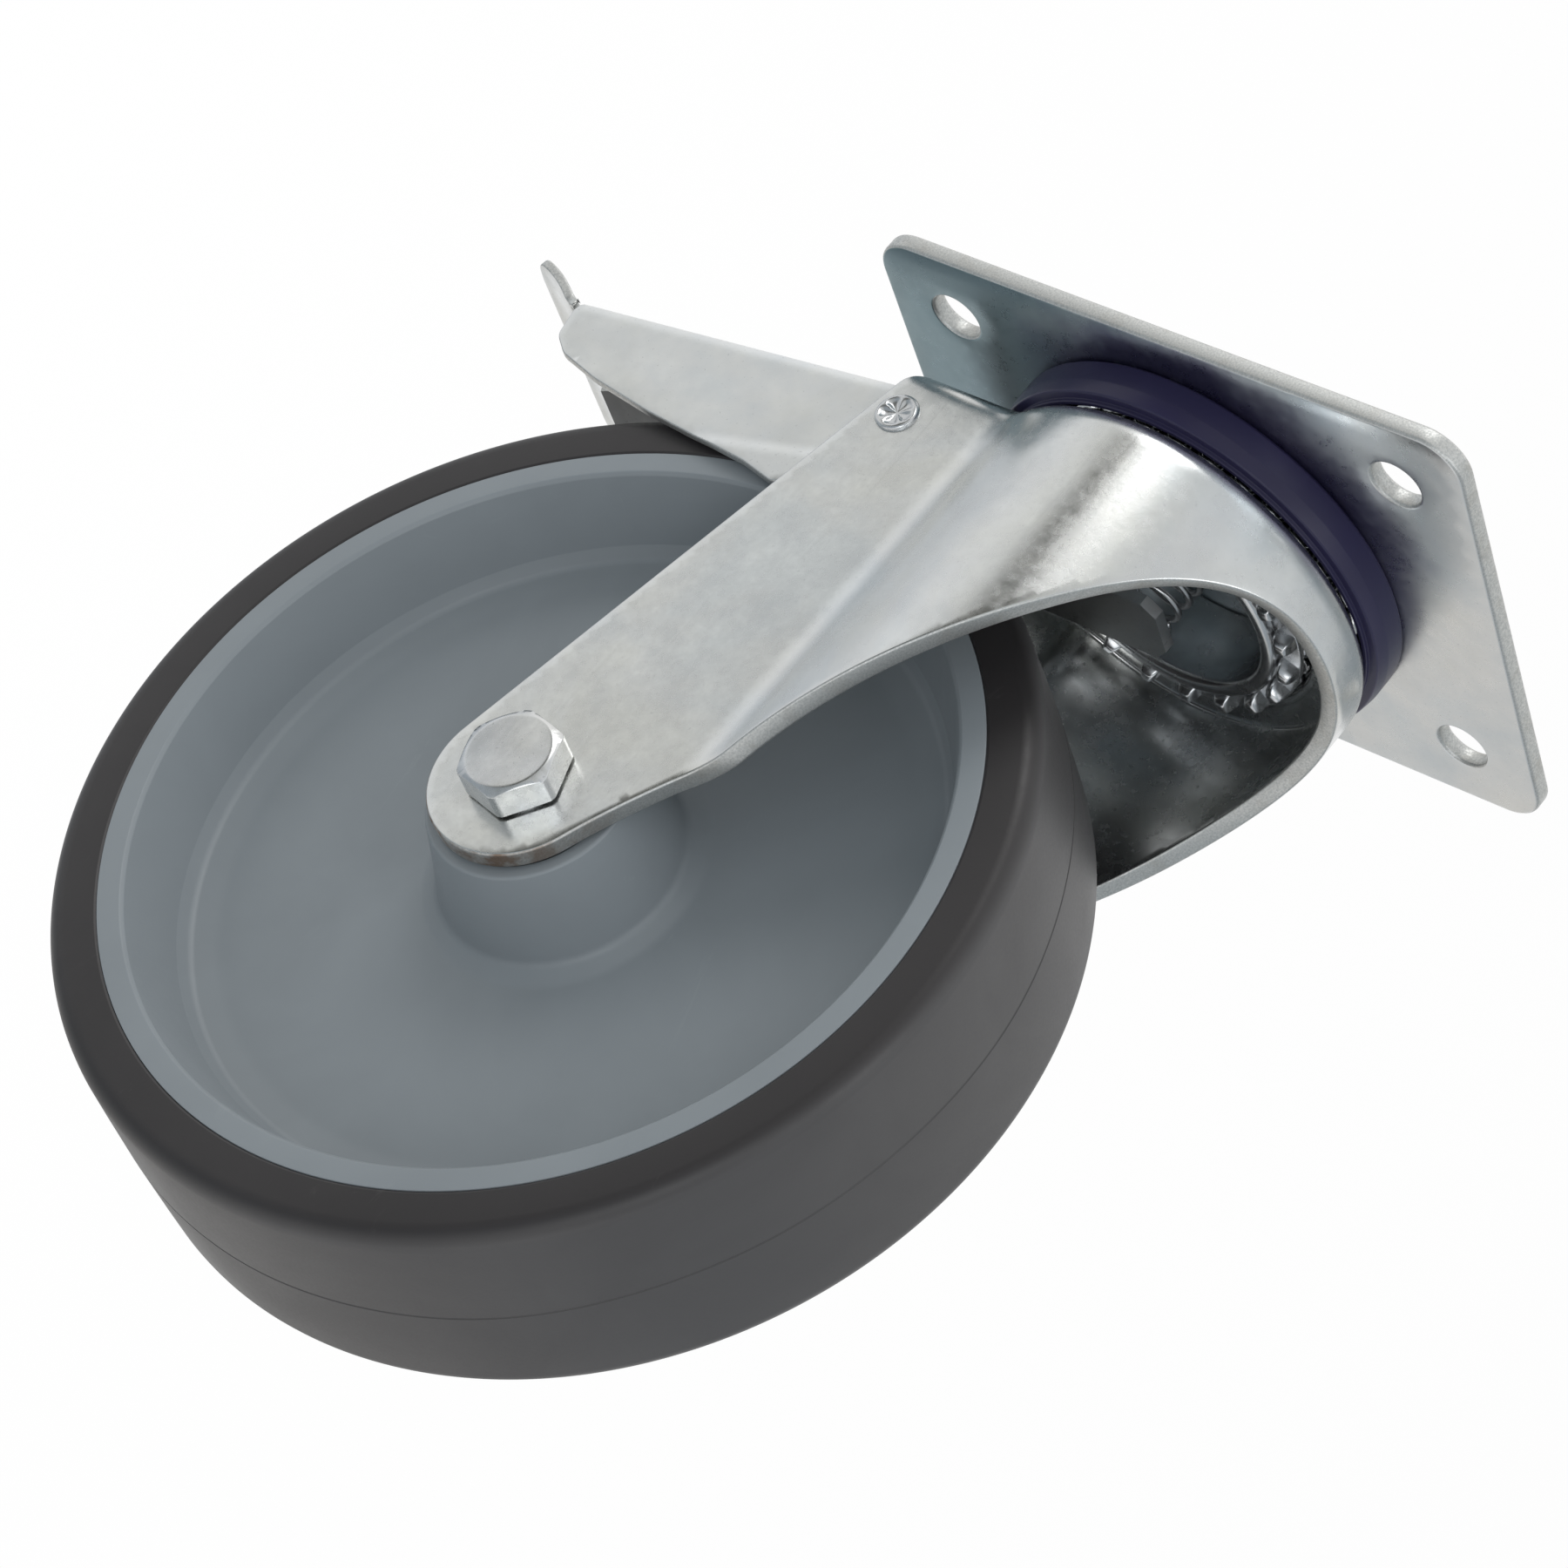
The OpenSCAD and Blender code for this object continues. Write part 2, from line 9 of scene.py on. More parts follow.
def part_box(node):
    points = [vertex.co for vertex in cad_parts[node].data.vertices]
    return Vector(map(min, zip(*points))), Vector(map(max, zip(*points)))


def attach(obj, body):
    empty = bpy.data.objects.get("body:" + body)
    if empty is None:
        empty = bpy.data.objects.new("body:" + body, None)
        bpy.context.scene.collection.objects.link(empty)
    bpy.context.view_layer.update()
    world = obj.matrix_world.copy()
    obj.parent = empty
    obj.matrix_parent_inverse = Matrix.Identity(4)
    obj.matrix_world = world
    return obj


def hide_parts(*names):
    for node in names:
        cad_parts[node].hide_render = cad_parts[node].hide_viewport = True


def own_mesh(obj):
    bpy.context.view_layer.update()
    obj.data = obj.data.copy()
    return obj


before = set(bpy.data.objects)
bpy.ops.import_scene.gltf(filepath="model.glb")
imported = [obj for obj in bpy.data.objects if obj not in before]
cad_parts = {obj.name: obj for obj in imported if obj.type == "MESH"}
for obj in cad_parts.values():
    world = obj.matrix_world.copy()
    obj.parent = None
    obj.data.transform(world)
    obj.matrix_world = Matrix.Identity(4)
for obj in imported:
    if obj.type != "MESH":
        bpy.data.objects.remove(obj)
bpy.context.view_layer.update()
MM = 0.001


# ---------------------------------------------------------------- places, in mm, from the CAD nodes

def mm_box(node):
    low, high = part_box(node)
    return np.array(low) / MM, np.array(high) / MM


tread_low, tread_high = mm_box("tread")
AXLE = (tread_low + tread_high) / 2
WHEEL_R = (tread_high[0] - tread_low[0]) / 2
plate_low, plate_high = mm_box("top_plate")
PLATE_BOTTOM = plate_low[2]
pin_low, pin_high = mm_box("pivot_pin")
PIVOT = (pin_low + pin_high) / 2
CROWN_R = mm_box("fork")[1][1]
CROWN_TOP = -13.4       # top face of the fork's crown
LEG = 33.0              # outer face of a leg, from the middle
SHEET = 4.0             # thickness of the fork and of the plate


# ---------------------------------------------------------------- mesh helpers

def new_object(name, verts, faces, body, mats, index=None, sharp=None):
    """A mesh from points in mm, welded, smooth, riding on a body."""
    mesh = bpy.data.meshes.new(name)
    mesh.from_pydata([tuple(float(c) * MM for c in v) for v in verts], [], faces)
    for m in mats:
        mesh.materials.append(m)
    if index is not None:
        mesh.polygons.foreach_set("material_index", index)
    bm = bmesh.new()
    bm.from_mesh(mesh)
    bmesh.ops.remove_doubles(bm, verts=bm.verts, dist=2e-6)
    bmesh.ops.dissolve_degenerate(bm, edges=bm.edges, dist=1e-7)
    loose = [v for v in bm.verts if not v.link_faces]
    bmesh.ops.delete(bm, geom=loose, context="VERTS")
    for f in bm.faces:
        f.smooth = True
    if sharp is not None:
        for e in bm.edges:
            if len(e.link_faces) == 2 and e.calc_face_angle(0.0) > math.radians(sharp):
                e.smooth = False
    bm.to_mesh(mesh)
    bm.free()
    obj = bpy.data.objects.new(name, mesh)
    bpy.context.scene.collection.objects.link(obj)
    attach(obj, body)
    return obj


def rounded(points, radii, steps=5, closed=True):
    """A flat outline whose corners are turned to arcs of the given radii."""
    pts = [np.array(p, float) for p in points]
    n = len(pts)
    out = []
    for i in range(n):
        r = radii[i] if hasattr(radii, "__len__") else radii
        p = pts[i]
        if r <= 0 or (not closed and i in (0, n - 1)):
            out.append(p)
            continue
        a, b = pts[i - 1] - p, pts[(i + 1) % n] - p
        la, lb = np.linalg.norm(a), np.linalg.norm(b)
        a, b = a / la, b / lb
        half = math.acos(max(-1.0, min(1.0, float(a @ b)))) / 2
        if half > math.pi / 2 - 0.02:
            out.append(p)
            continue
        t = min(r / math.tan(half), 0.49 * la, 0.49 * lb)
        r = t * math.tan(half)
        mid = (a + b) / np.linalg.norm(a + b)
        c = p + mid * (r / math.sin(half))
        u0, u1 = p + a * t - c, p + b * t - c
        ang0, ang1 = math.atan2(u0[1], u0[0]), math.atan2(u1[1], u1[0])
        d = (ang1 - ang0 + math.pi) % (2 * math.pi) - math.pi
        out += [c + r * np.array([math.cos(ang0 + d * k / steps), math.sin(ang0 + d * k / steps)])
                for k in range(steps + 1)]
    return out


def lathe(profile, segments, place):
    """Turns a closed outline of (radius, height) round an axis. place(r, angle, h) gives the point."""
    n = len(profile)
    verts = []
    for k in range(segments):
        w = 2 * math.pi * k / segments
        verts += [place(p[0], w, p[1]) for p in profile]
    faces = []
    for k in range(segments):
        a, b = k * n, ((k + 1) % segments) * n
        for i in range(n):
            j = (i + 1) % n
            faces.append((a + i, b + i, b + j, a + j))
    return verts, faces


def about_axle(r, w, h):
    """A point at a radius and an angle round the wheel's axle, h along it."""
    return (AXLE[0] + r * math.cos(w), h, AXLE[2] + r * math.sin(w))


def about_swivel(r, w, h):
    """A point at a radius and an angle round the swivel's axis, at height h."""
    return (r * math.cos(w), -r * math.sin(w), h)


def shifted(faces, n):
    """The same faces for points that come n places later."""
    return [tuple(n + i for i in f) for f in faces]


def stacked_rings(base, rings, m):
    """Faces between rings of m points each, which start at point base, with both ends closed."""
    faces = []
    for i in range(rings - 1):
        for j in range(m):
            a, b = base + i * m + j, base + i * m + (j + 1) % m
            faces.append((a, b, b + m, a + m))
    faces.append(tuple(base + (rings - 1) * m + j for j in range(m)))
    faces.append(tuple(base + j for j in reversed(range(m))))
    return faces


def fix_normals(obj):
    """Turns every face of a closed mesh outwards."""
    bm = bmesh.new()
    bm.from_mesh(obj.data)
    bmesh.ops.recalc_face_normals(bm, faces=bm.faces)
    bm.to_mesh(obj.data)
    bm.free()


def resample(points, step):
    """The same open line with points about one step apart, keeping its corners."""
    pts = np.array(points, float)
    out = [pts[0]]
    for a, b in zip(pts[:-1], pts[1:]):
        n = max(1, int(round(np.linalg.norm(b - a) / step)))
        out += [a + (b - a) * k / n for k in range(1, n + 1)]
    return np.array(out)


def turn(degrees):
    """The unit vector at an angle."""
    return np.array([math.cos(math.radians(degrees)), math.sin(math.radians(degrees))])


def bezier(a, b, c, d, n):
    """Points along a cubic curve from a to d, pulled towards b and c."""
    t = np.linspace(0, 1, n + 1)[:, None]
    a, b, c, d = (np.array(p, float) for p in (a, b, c, d))
    return (1 - t) ** 3 * a + 3 * (1 - t) ** 2 * t * b + 3 * (1 - t) * t * t * c + t ** 3 * d


def inside(points, loop):
    """Which points are inside a closed outline."""
    x, y = points[:, 0], points[:, 1]
    hit = np.zeros(len(points), bool)
    a, b = loop, np.roll(loop, -1, 0)
    for (x0, y0), (x1, y1) in zip(a, b):
        if y0 == y1:
            continue
        cross = ((y0 > y) != (y1 > y)) & (x < (x1 - x0) * (y - y0) / (y1 - y0) + x0)
        hit ^= cross
    return hit


def clearance(points, loop):
    """How far each point is from a closed outline."""
    a, b = loop, np.roll(loop, -1, 0)
    best = np.full(len(points), 1e9)
    for p, q in zip(a, b):
        d = q - p
        l2 = float(d @ d)
        if l2 < 1e-12:
            continue
        t = np.clip(((points - p) @ d) / l2, 0, 1)
        best = np.minimum(best, np.hypot(*(points - p - t[:, None] * d).T))
    return best


def sheet_metal(loops, place, thick, edge, spacing, steps=3):
    """A bent sheet with rounded edges. Each loop is (points, rim flags); the first one is the outline,
    counter-clockwise, and the others are holes, clockwise. place(points) gives positions and normals."""
    insets, outs, flags = [], [], []
    for pts, rim in loops:
        pts = np.array(pts, float)
        seg = np.roll(pts, -1, 0) - pts
        ln = np.maximum(np.linalg.norm(seg, axis=1), 1e-9)
        nrm = np.c_[seg[:, 1], -seg[:, 0]] / ln[:, None]
        rim = np.array(rim, bool)
        nrm[~rim] = 0
        both = nrm + np.roll(nrm, 1, 0)
        size = np.linalg.norm(both, axis=1)
        b = both / np.maximum(size, 1e-9)[:, None]
        two = rim & np.roll(rim, 1)
        half = np.where(two, np.maximum(size / 2, 0.6), 1.0)
        b = np.where((size > 1e-6)[:, None], b / half[:, None], 0)
        insets.append(pts - b * edge)
        outs.append(b)
        flags.append((rim, size > 1e-6))
    outline = insets[0]
    low, high = outline.min(0), outline.max(0)
    gx, gy = np.meshgrid(np.arange(low[0], high[0], spacing), np.arange(low[1], high[1], spacing * 0.87))
    gx[1::2] += spacing / 2
    grid = np.c_[gx.ravel(), gy.ravel()]
    grid = grid[inside(grid, outline)]
    grid = grid[clearance(grid, outline) > 0.55 * spacing]
    for hole in insets[1:]:
        grid = grid[~inside(grid, hole)]
        grid = grid[clearance(grid, hole) > 0.55 * spacing]
    coords, cons, starts = [], [], []
    for lp in insets:
        starts.append(len(coords))
        coords += [Vector(p) for p in lp]
        n = len(lp)
        cons += [(starts[-1] + i, starts[-1] + (i + 1) % n) for i in range(n)]
    coords += [Vector(p) for p in grid]
    v2, _, tris, origin, _, _ = delaunay_2d_cdt(coords, cons, [], 0, 1e-6)
    index_of = {}
    for i, srcs in enumerate(origin):
        for s in srcs:
            index_of[s] = i
    flat = np.array([tuple(v) for v in v2])
    mid = flat[np.array(tris)].mean(1)
    keep = inside(mid, outline)
    for hole in insets[1:]:
        keep &= ~inside(mid, hole)
    tris = [t for t, k in zip(tris, keep) if k]
    pos, nor = place(flat)
    n0 = len(flat)
    verts = list(pos) + list(pos - nor * thick)
    faces = []
    mat = []
    for t in tris:
        a, b, c = (flat[i] for i in t)
        ccw = (b[0] - a[0]) * (c[1] - a[1]) - (b[1] - a[1]) * (c[0] - a[0]) > 0
        t = tuple(t) if ccw else tuple(reversed(t))
        faces.append(t)
        faces.append(tuple(n0 + i for i in reversed(t)))
        mat += [0, 0]
    for (pts, _), b, start, (rim, on), lp in zip(loops, outs, starts, flags, insets):
        pts = np.array(pts, float)
        chain = [[index_of[start + i] for i in range(len(pts))]]
        for side in (0, 1):
            for k in range(0 if side else 1, steps + 1):
                w = math.pi / 2 * k / steps
                off = -edge + edge * (math.cos(w) if side else math.sin(w))
                depth = thick - edge + edge * math.sin(w) if side else edge - edge * math.cos(w)
                if side and k == steps:
                    chain.append([n0 + index_of[start + i] for i in range(len(pts))])
                    continue
                p, n = place(pts + b * off)
                base = len(verts)
                verts += list(p - n * depth)
                chain.append([base + i for i in range(len(pts))])
        n = len(pts)
        for i in range(n):
            if not rim[i]:
                continue
            j = (i + 1) % n
            for k, (c0, c1) in enumerate(zip(chain[:-1], chain[1:])):
                faces.append((c0[j], c0[i], c1[i], c1[j]))
                mat.append(1 if 0 < k < len(chain) - 2 else 0)
    return np.array(verts), faces, mat


def mirrored(verts, faces, mat):
    """Adds the copy on the other side of Y = 0."""
    other = verts * np.array([1, -1, 1])
    turned = shifted([tuple(reversed(f)) for f in faces], len(verts))
    return np.vstack([verts, other]), faces + turned, mat + mat


# ---------------------------------------------------------------- materials

def feed(tree, socket, value):
    """Links an output to a socket, or sets a plain value on it."""
    if hasattr(value, "is_output"):
        tree.links.new(value, socket)
    else:
        socket.default_value = value


def put(tree, kind, values=None, **attrs):
    """Adds a node with its attributes and inputs."""
    node = tree.nodes.new(kind)
    for k, v in attrs.items():
        setattr(node, k, v)
    for k, v in (values or {}).items():
        feed(tree, node.inputs[k], v)
    return node


def color_ramp(tree, fac, stops, interpolation="LINEAR"):
    """Colours by position; a stop's colour is a triple or one grey value."""
    node = put(tree, "ShaderNodeValToRGB", {"Fac": fac})
    node.color_ramp.interpolation = interpolation
    els = node.color_ramp.elements
    while len(els) < len(stops):
        els.new(0.5)
    for el, (pos, col) in zip(els, stops):
        el.position = pos
        el.color = (*col, 1) if hasattr(col, "__len__") else (col, col, col, 1)
    return node.outputs[0]


class Nodes:
    """A short way to write a node material on the Principled shader."""

    def __init__(self, name):
        self.mat = bpy.data.materials.new(name)
        self.mat.use_nodes = True
        self.tree = self.mat.node_tree
        self.bsdf = self.tree.nodes["Principled BSDF"]
        self.coord = self.tree.nodes.new("ShaderNodeTexCoord").outputs["Object"]

    def put(self, kind, values=None, **attrs):
        return put(self.tree, kind, values, **attrs)

    def set(self, name, v):
        feed(self.tree, self.bsdf.inputs[name], v)

    def noise(self, scale, detail=3.0, rough=0.55, stretch=None, distort=0.0):
        vec = self.coord
        if stretch:
            vec = self.put("ShaderNodeMapping", {"Vector": vec, "Scale": stretch}).outputs[0]
        return self.put("ShaderNodeTexNoise", {"Vector": vec, "Scale": scale, "Detail": detail,
                                               "Roughness": rough, "Distortion": distort}).outputs["Fac"]

    def mix(self, fac, a, b):
        node = self.put("ShaderNodeMix", data_type="RGBA")
        for i, v in ((0, fac), (6, a), (7, b)):
            feed(self.tree, node.inputs[i], (*v, 1) if hasattr(v, "__len__") else v)
        return node.outputs[2]

    def span(self, value, a, b, lo, hi):
        """Goes from lo to hi as the value goes from a to b."""
        return self.put("ShaderNodeMapRange", {"Value": value, "From Min": a, "From Max": b, "To Min": lo,
                                               "To Max": hi}).outputs[0]

    def math(self, op, a, b=0.0):
        return self.put("ShaderNodeMath", {0: a, 1: b}, operation=op).outputs[0]

    def times(self, a, b):
        return self.math("MULTIPLY", a, b)

    def plus(self, a, b):
        return self.math("ADD", a, b)

    def bump(self, height, strength, distance, normal=None):
        values = {"Height": height, "Strength": strength, "Distance": distance}
        if normal is not None:
            values["Normal"] = normal
        return self.put("ShaderNodeBump", values).outputs[0]

    def axis(self, k):
        return self.put("ShaderNodeSeparateXYZ", {"Vector": self.coord}).outputs[k]


def plate_painted_reflections(m, cloud, col):
    """Paints light and shade on the plate's underside: a darker blue-grey towards its rear end, painted
    shade in its reflection there, and a violet tint round the seal, a painted reflection of the seal with
    painted shade round it.
    """
    x, y = m.axis(0), m.axis(1)
    underside = m.span(m.axis(2), -0.0036, -0.0028, 1, 0)
    # painted shade: the underside's reflection is darkened to blue-grey towards the rear end
    painted_rear_shade = m.span(m.plus(x, m.span(cloud, 0.3, 0.7, -0.012, 0.012)), 0.022, -0.034, 0, 0.95)
    col = m.mix(m.times(underside, painted_rear_shade), col, (0.23, 0.31, 0.34))
    reach = m.math("SQRT", m.plus(m.times(x, x), m.times(y, y)))
    reach = m.plus(reach, m.span(m.noise(60, 3, 0.6), 0.3, 0.7, -0.005, 0.005))
    # painted reflection of the violet seal, with painted shade, in a ring round it on the side towards -Y
    painted_seal_reflection = m.times(m.span(reach, 0.049, 0.060, 0.85, 0), m.span(reach, 0.041, 0.044, 0, 1))
    painted_seal_reflection = m.times(painted_seal_reflection, underside)
    painted_seal_reflection = m.times(painted_seal_reflection, m.span(m.plus(y, m.times(x, 0.35)), -0.012, 0.014, 1, 0))
    painted_seal_reflection = m.times(painted_seal_reflection, m.span(x, -0.040, -0.018, 0.1, 1))
    return m.mix(painted_seal_reflection, col, (0.13, 0.115, 0.22))


def zinc(name, light, dark, rough, wave=0.25, speck=0.35, blue=(0.62, 0.70, 0.76), yellow=(0.74, 0.72, 0.62),
         tint=0.35, tint_and_painted_reflection=None):
    """Zinc-plated steel: cloudy bluish and yellowish tints, fine grain, small stains, soft waves.
    The last argument, called with (m, cloud, colour), lays one more tint over the colour; on the plate it
    lays painted reflections and painted shade."""
    m = Nodes(name)
    cloud = m.noise(28, 4, 0.6, distort=0.4)
    fine = m.noise(420, 4, 0.65)
    patch = m.noise(95, 5, 0.62)
    col = m.mix(m.span(patch, 0.3, 0.72, 0, 1), dark, light)
    col = m.mix(tint, col, color_ramp(m.tree, cloud, [(0.35, blue), (0.5, light), (0.66, yellow)]))
    # painted reflections and painted shade go over the colour here, where they are given
    if tint_and_painted_reflection:
        col = tint_and_painted_reflection(m, cloud, col)
    spots = m.span(m.noise(1500, 2, 0.5), 0.66, 0.74, 0, 1)
    col = m.mix(m.times(spots, speck), col, tuple(c * 0.45 for c in dark))
    m.set("Base Color", col)
    m.set("Metallic", 1.0)
    m.set("Roughness", m.plus(m.span(patch, 0.3, 0.7, rough + 0.03, rough - 0.03),
                              m.span(fine, 0.3, 0.7, -0.04, 0.05)))
    waves = m.bump(m.noise(34, 2, 0.5), wave, 0.0006)
    grain = m.bump(fine, 0.10, 0.00012, waves)
    lines = m.span(m.noise(260, 2, 0.5, stretch=(1, 1, 0.06)), 0.6, 0.72, 0, 1)
    m.set("Normal", m.bump(lines, 0.05, 0.0001, grain))
    return m.mat


def cut_edge(name, stain=False):
    """The sheared edge of plated sheet: pale, rough and blotched; stain adds rust low on the legs."""
    m = Nodes(name)
    grain = m.noise(2400, 3, 0.6)
    col = m.mix(m.span(grain, 0.35, 0.7, 0, 1), (0.50, 0.51, 0.50), (0.70, 0.70, 0.68))
    blot = m.noise(170, 3, 0.6)
    col = m.mix(m.span(blot, 0.52, 0.78, 0, 0.4), col, (0.40, 0.37, 0.32))
    if stain:
        low = m.span(m.axis(2), -0.150, -0.128, 1, 0)
        rust = m.times(low, m.span(m.noise(170, 3, 0.6), 0.42, 0.6, 0.1, 0.8))
        col = m.mix(rust, col, (0.23, 0.13, 0.07))
    m.set("Base Color", col)
    m.set("Metallic", 0.9)
    m.set("Roughness", m.span(grain, 0.3, 0.7, 0.52, 0.36))
    m.set("Normal", m.bump(grain, 0.2, 0.0001))
    return m.mat


def plain_steel(name, color, rough):
    """Turned or hardened steel with a faint oily tint."""
    m = Nodes(name)
    tint_and_painted_reflection = m.noise(180, 3, 0.6)
    m.set("Base Color", m.mix(m.span(tint_and_painted_reflection, 0.3, 0.7, 0, 1), tuple(c * 0.82 for c in color), color))
    m.set("Metallic", 1.0)
    m.set("Roughness", m.span(tint_and_painted_reflection, 0.3, 0.7, rough + 0.06, rough - 0.04))
    m.set("Normal", m.bump(m.noise(1400, 2, 0.5), 0.08, 0.00008))
    return m.mat


def plastic(name, color, rough, grain=0.06, cloudy=0.10, scuff=(0.5, 0.5, 0.5), scuffs=0.0, specular=0.5,
            painted_sheen_grey=0.0):
    """Moulded plastic or rubber: slight cloudiness, fine texture, faint handling marks. The last argument is
    the grey painted on the faces that don't look along the axle, a painted sheen on a tyre's running face."""
    m = Nodes(name)
    cloud = m.noise(22, 4, 0.6, distort=0.5)
    fine = m.noise(1600, 3, 0.6)
    col = m.mix(m.span(cloud, 0.3, 0.7, 0, 1), tuple(c * (1 - cloudy) for c in color),
                tuple(c * (1 + cloudy * 0.6) for c in color))
    if scuffs:
        line = m.span(m.noise(75, 5, 0.7, stretch=(1, 1, 0.35), distort=1.2), 0.66, 0.76, 0, 1)
        col = m.mix(m.times(line, scuffs), col, scuff)
    # painted sheen: the tyre's running face is made a lighter grey, standing in for light falling on it
    if painted_sheen_grey:
        normal = m.tree.nodes["Texture Coordinate"].outputs["Normal"]
        across = m.math("ABSOLUTE", m.put("ShaderNodeSeparateXYZ", {"Vector": normal}).outputs[1])
        painted_sheen = m.times(m.span(across, 0.35, 0.9, 1, 0), m.span(cloud, 0.3, 0.7, 0.8, 1.0))
        col = m.mix(painted_sheen, col, (painted_sheen_grey, painted_sheen_grey * 0.96, painted_sheen_grey * 0.97))
    m.set("Base Color", col)
    m.set("Roughness", m.plus(m.span(cloud, 0.3, 0.7, rough + 0.05, rough - 0.04),
                              m.span(fine, 0.3, 0.7, -0.03, 0.03)))
    m.set("Specular IOR Level", specular)
    m.set("Normal", m.bump(fine, grain, 0.0001, m.bump(m.noise(45, 2, 0.5), 0.05, 0.0006)))
    return m.mat


fork_zinc = zinc("fork_zinc", (0.74, 0.75, 0.74), (0.64, 0.65, 0.65), 0.25, wave=0.04, speck=0.15,
                 tint=0.22)
# the plate's zinc carries painted reflections and painted shade on its underside
plate_zinc = zinc("plate_zinc", (0.80, 0.81, 0.81), (0.66, 0.69, 0.71), 0.30, wave=0.3, speck=0.3,
                  blue=(0.62, 0.69, 0.74), yellow=(0.80, 0.79, 0.75), tint=0.4, tint_and_painted_reflection=plate_painted_reflections)
pedal_zinc = zinc("pedal_zinc", (0.80, 0.81, 0.80), (0.70, 0.72, 0.73), 0.33, wave=0.18, tint=0.2)
bolt_zinc = zinc("bolt_zinc", (0.74, 0.75, 0.76), (0.56, 0.57, 0.58), 0.26, wave=0.1, tint=0.2)
edge_zinc = cut_edge("edge_zinc")
edge_stained = cut_edge("edge_stained", stain=True)
bright_steel = plain_steel("bright_steel", (0.72, 0.73, 0.74), 0.24)
ball_steel = plain_steel("ball_steel", (0.78, 0.78, 0.79), 0.12)
wire_steel = plain_steel("wire_steel", (0.60, 0.61, 0.62), 0.28)
seal_plastic = plastic("seal_plastic", (0.028, 0.025, 0.068), 0.32, cloudy=0.15, specular=0.35)
wheel_plastic = plastic("wheel_plastic", (0.272, 0.301, 0.322), 0.42, cloudy=0.06,
                        scuff=(0.36, 0.39, 0.41), scuffs=0.25)
# the tyre's running face gets a painted sheen, a lighter grey standing in for light falling on it
tread_rubber = plastic("tread_rubber", (0.031, 0.028, 0.029), 0.43, grain=0.12, cloudy=0.14,
                       scuff=(0.10, 0.095, 0.09), scuffs=0.35, painted_sheen_grey=0.086)
seal_rubber = plastic("seal_rubber", (0.02, 0.02, 0.02), 0.5)
nylon = plastic("nylon", (0.72, 0.70, 0.64), 0.45)


# ---------------------------------------------------------------- fork: one pressed shell

BLEND = 10.0                    # outer bend from the crown's round into a leg
FILLET = 5.0                    # outer bend from the crown's top into its wall
RISE_R = 35.0                   # step in the crown's top, up to the swivel bearing
BEARING_R = 33.3                # inner face of that step
CROWN_BORE_R = 27.1
LEG_END_R = 19.0
REAR_CORNER = (-57.6, -19.5)    # where a leg's rear edge meets its rounded shoulder
CROWN_REAR = -51.5              # rear end of the crown's top
blend_y = LEG + BLEND
blend_x = -math.sqrt((CROWN_R + BLEND) ** 2 - blend_y ** 2)
phi_end = math.pi - math.acos((-blend_x) / (CROWN_R + BLEND))
s_crown = CROWN_R * phi_end
psi_end = math.asin(-blend_x / (CROWN_R + BLEND))
s_leg = s_crown + BLEND * psi_end
W_TOP = FILLET * math.pi / 2    # developed height at which the crown's top turns flat
W_MIDDLE = W_TOP + LEG - FILLET


def along_fork(x):
    """Developed length along the fork's plan outline, from the front, for a place along X."""
    x = np.asarray(x, float)
    crown = CROWN_R * np.arccos(np.clip(x / CROWN_R, -1, 1))
    hollow = s_crown + BLEND * (psi_end - np.arcsin(np.clip((x - blend_x) / BLEND, -1, 1)))
    joint_x = blend_x * CROWN_R / (CROWN_R + BLEND)
    return np.where(x >= joint_x, crown, np.where(x >= blend_x, hollow, s_leg + blend_x - x))


def fork_height(z):
    """Developed height for a height on the outer surface."""
    z = np.asarray(z, float)
    low = CROWN_TOP - FILLET
    return np.where(z <= low, z - low, FILLET * np.arcsin(np.clip((z - low) / FILLET, 0, 1)))


def place_fork(p):
    """Outer surface and normals of one half of the fork, from its developed coordinates."""
    s, w = p[:, 0], p[:, 1]
    phi = s / CROWN_R
    psi = psi_end - (s - s_crown) / BLEND
    on_crown, on_blend = (s <= s_crown)[:, None], (s <= s_leg)[:, None]
    hollow = np.c_[blend_x + BLEND * np.sin(psi), blend_y - BLEND * np.cos(psi)]
    leg = np.c_[blend_x - (s - s_leg), np.full(len(s), LEG)]
    base = np.where(on_crown, np.c_[CROWN_R * np.cos(phi), CROWN_R * np.sin(phi)],
                    np.where(on_blend, hollow, leg))
    out = np.where(on_crown, np.c_[np.cos(phi), np.sin(phi)],
                   np.where(on_blend, np.c_[-np.sin(psi), np.cos(psi)],
                            np.c_[np.zeros(len(s)), np.ones(len(s))]))
    a = np.clip(w / FILLET, 0, math.pi / 2)
    inset = FILLET * (1 - np.cos(a)) + np.maximum(w - W_TOP, 0)
    z = CROWN_TOP - FILLET + FILLET * np.sin(a) + np.minimum(w, 0)
    pos = np.c_[base - out * inset[:, None], z]
    nor = np.c_[out * np.cos(a)[:, None], np.sin(a)]
    return pos, nor


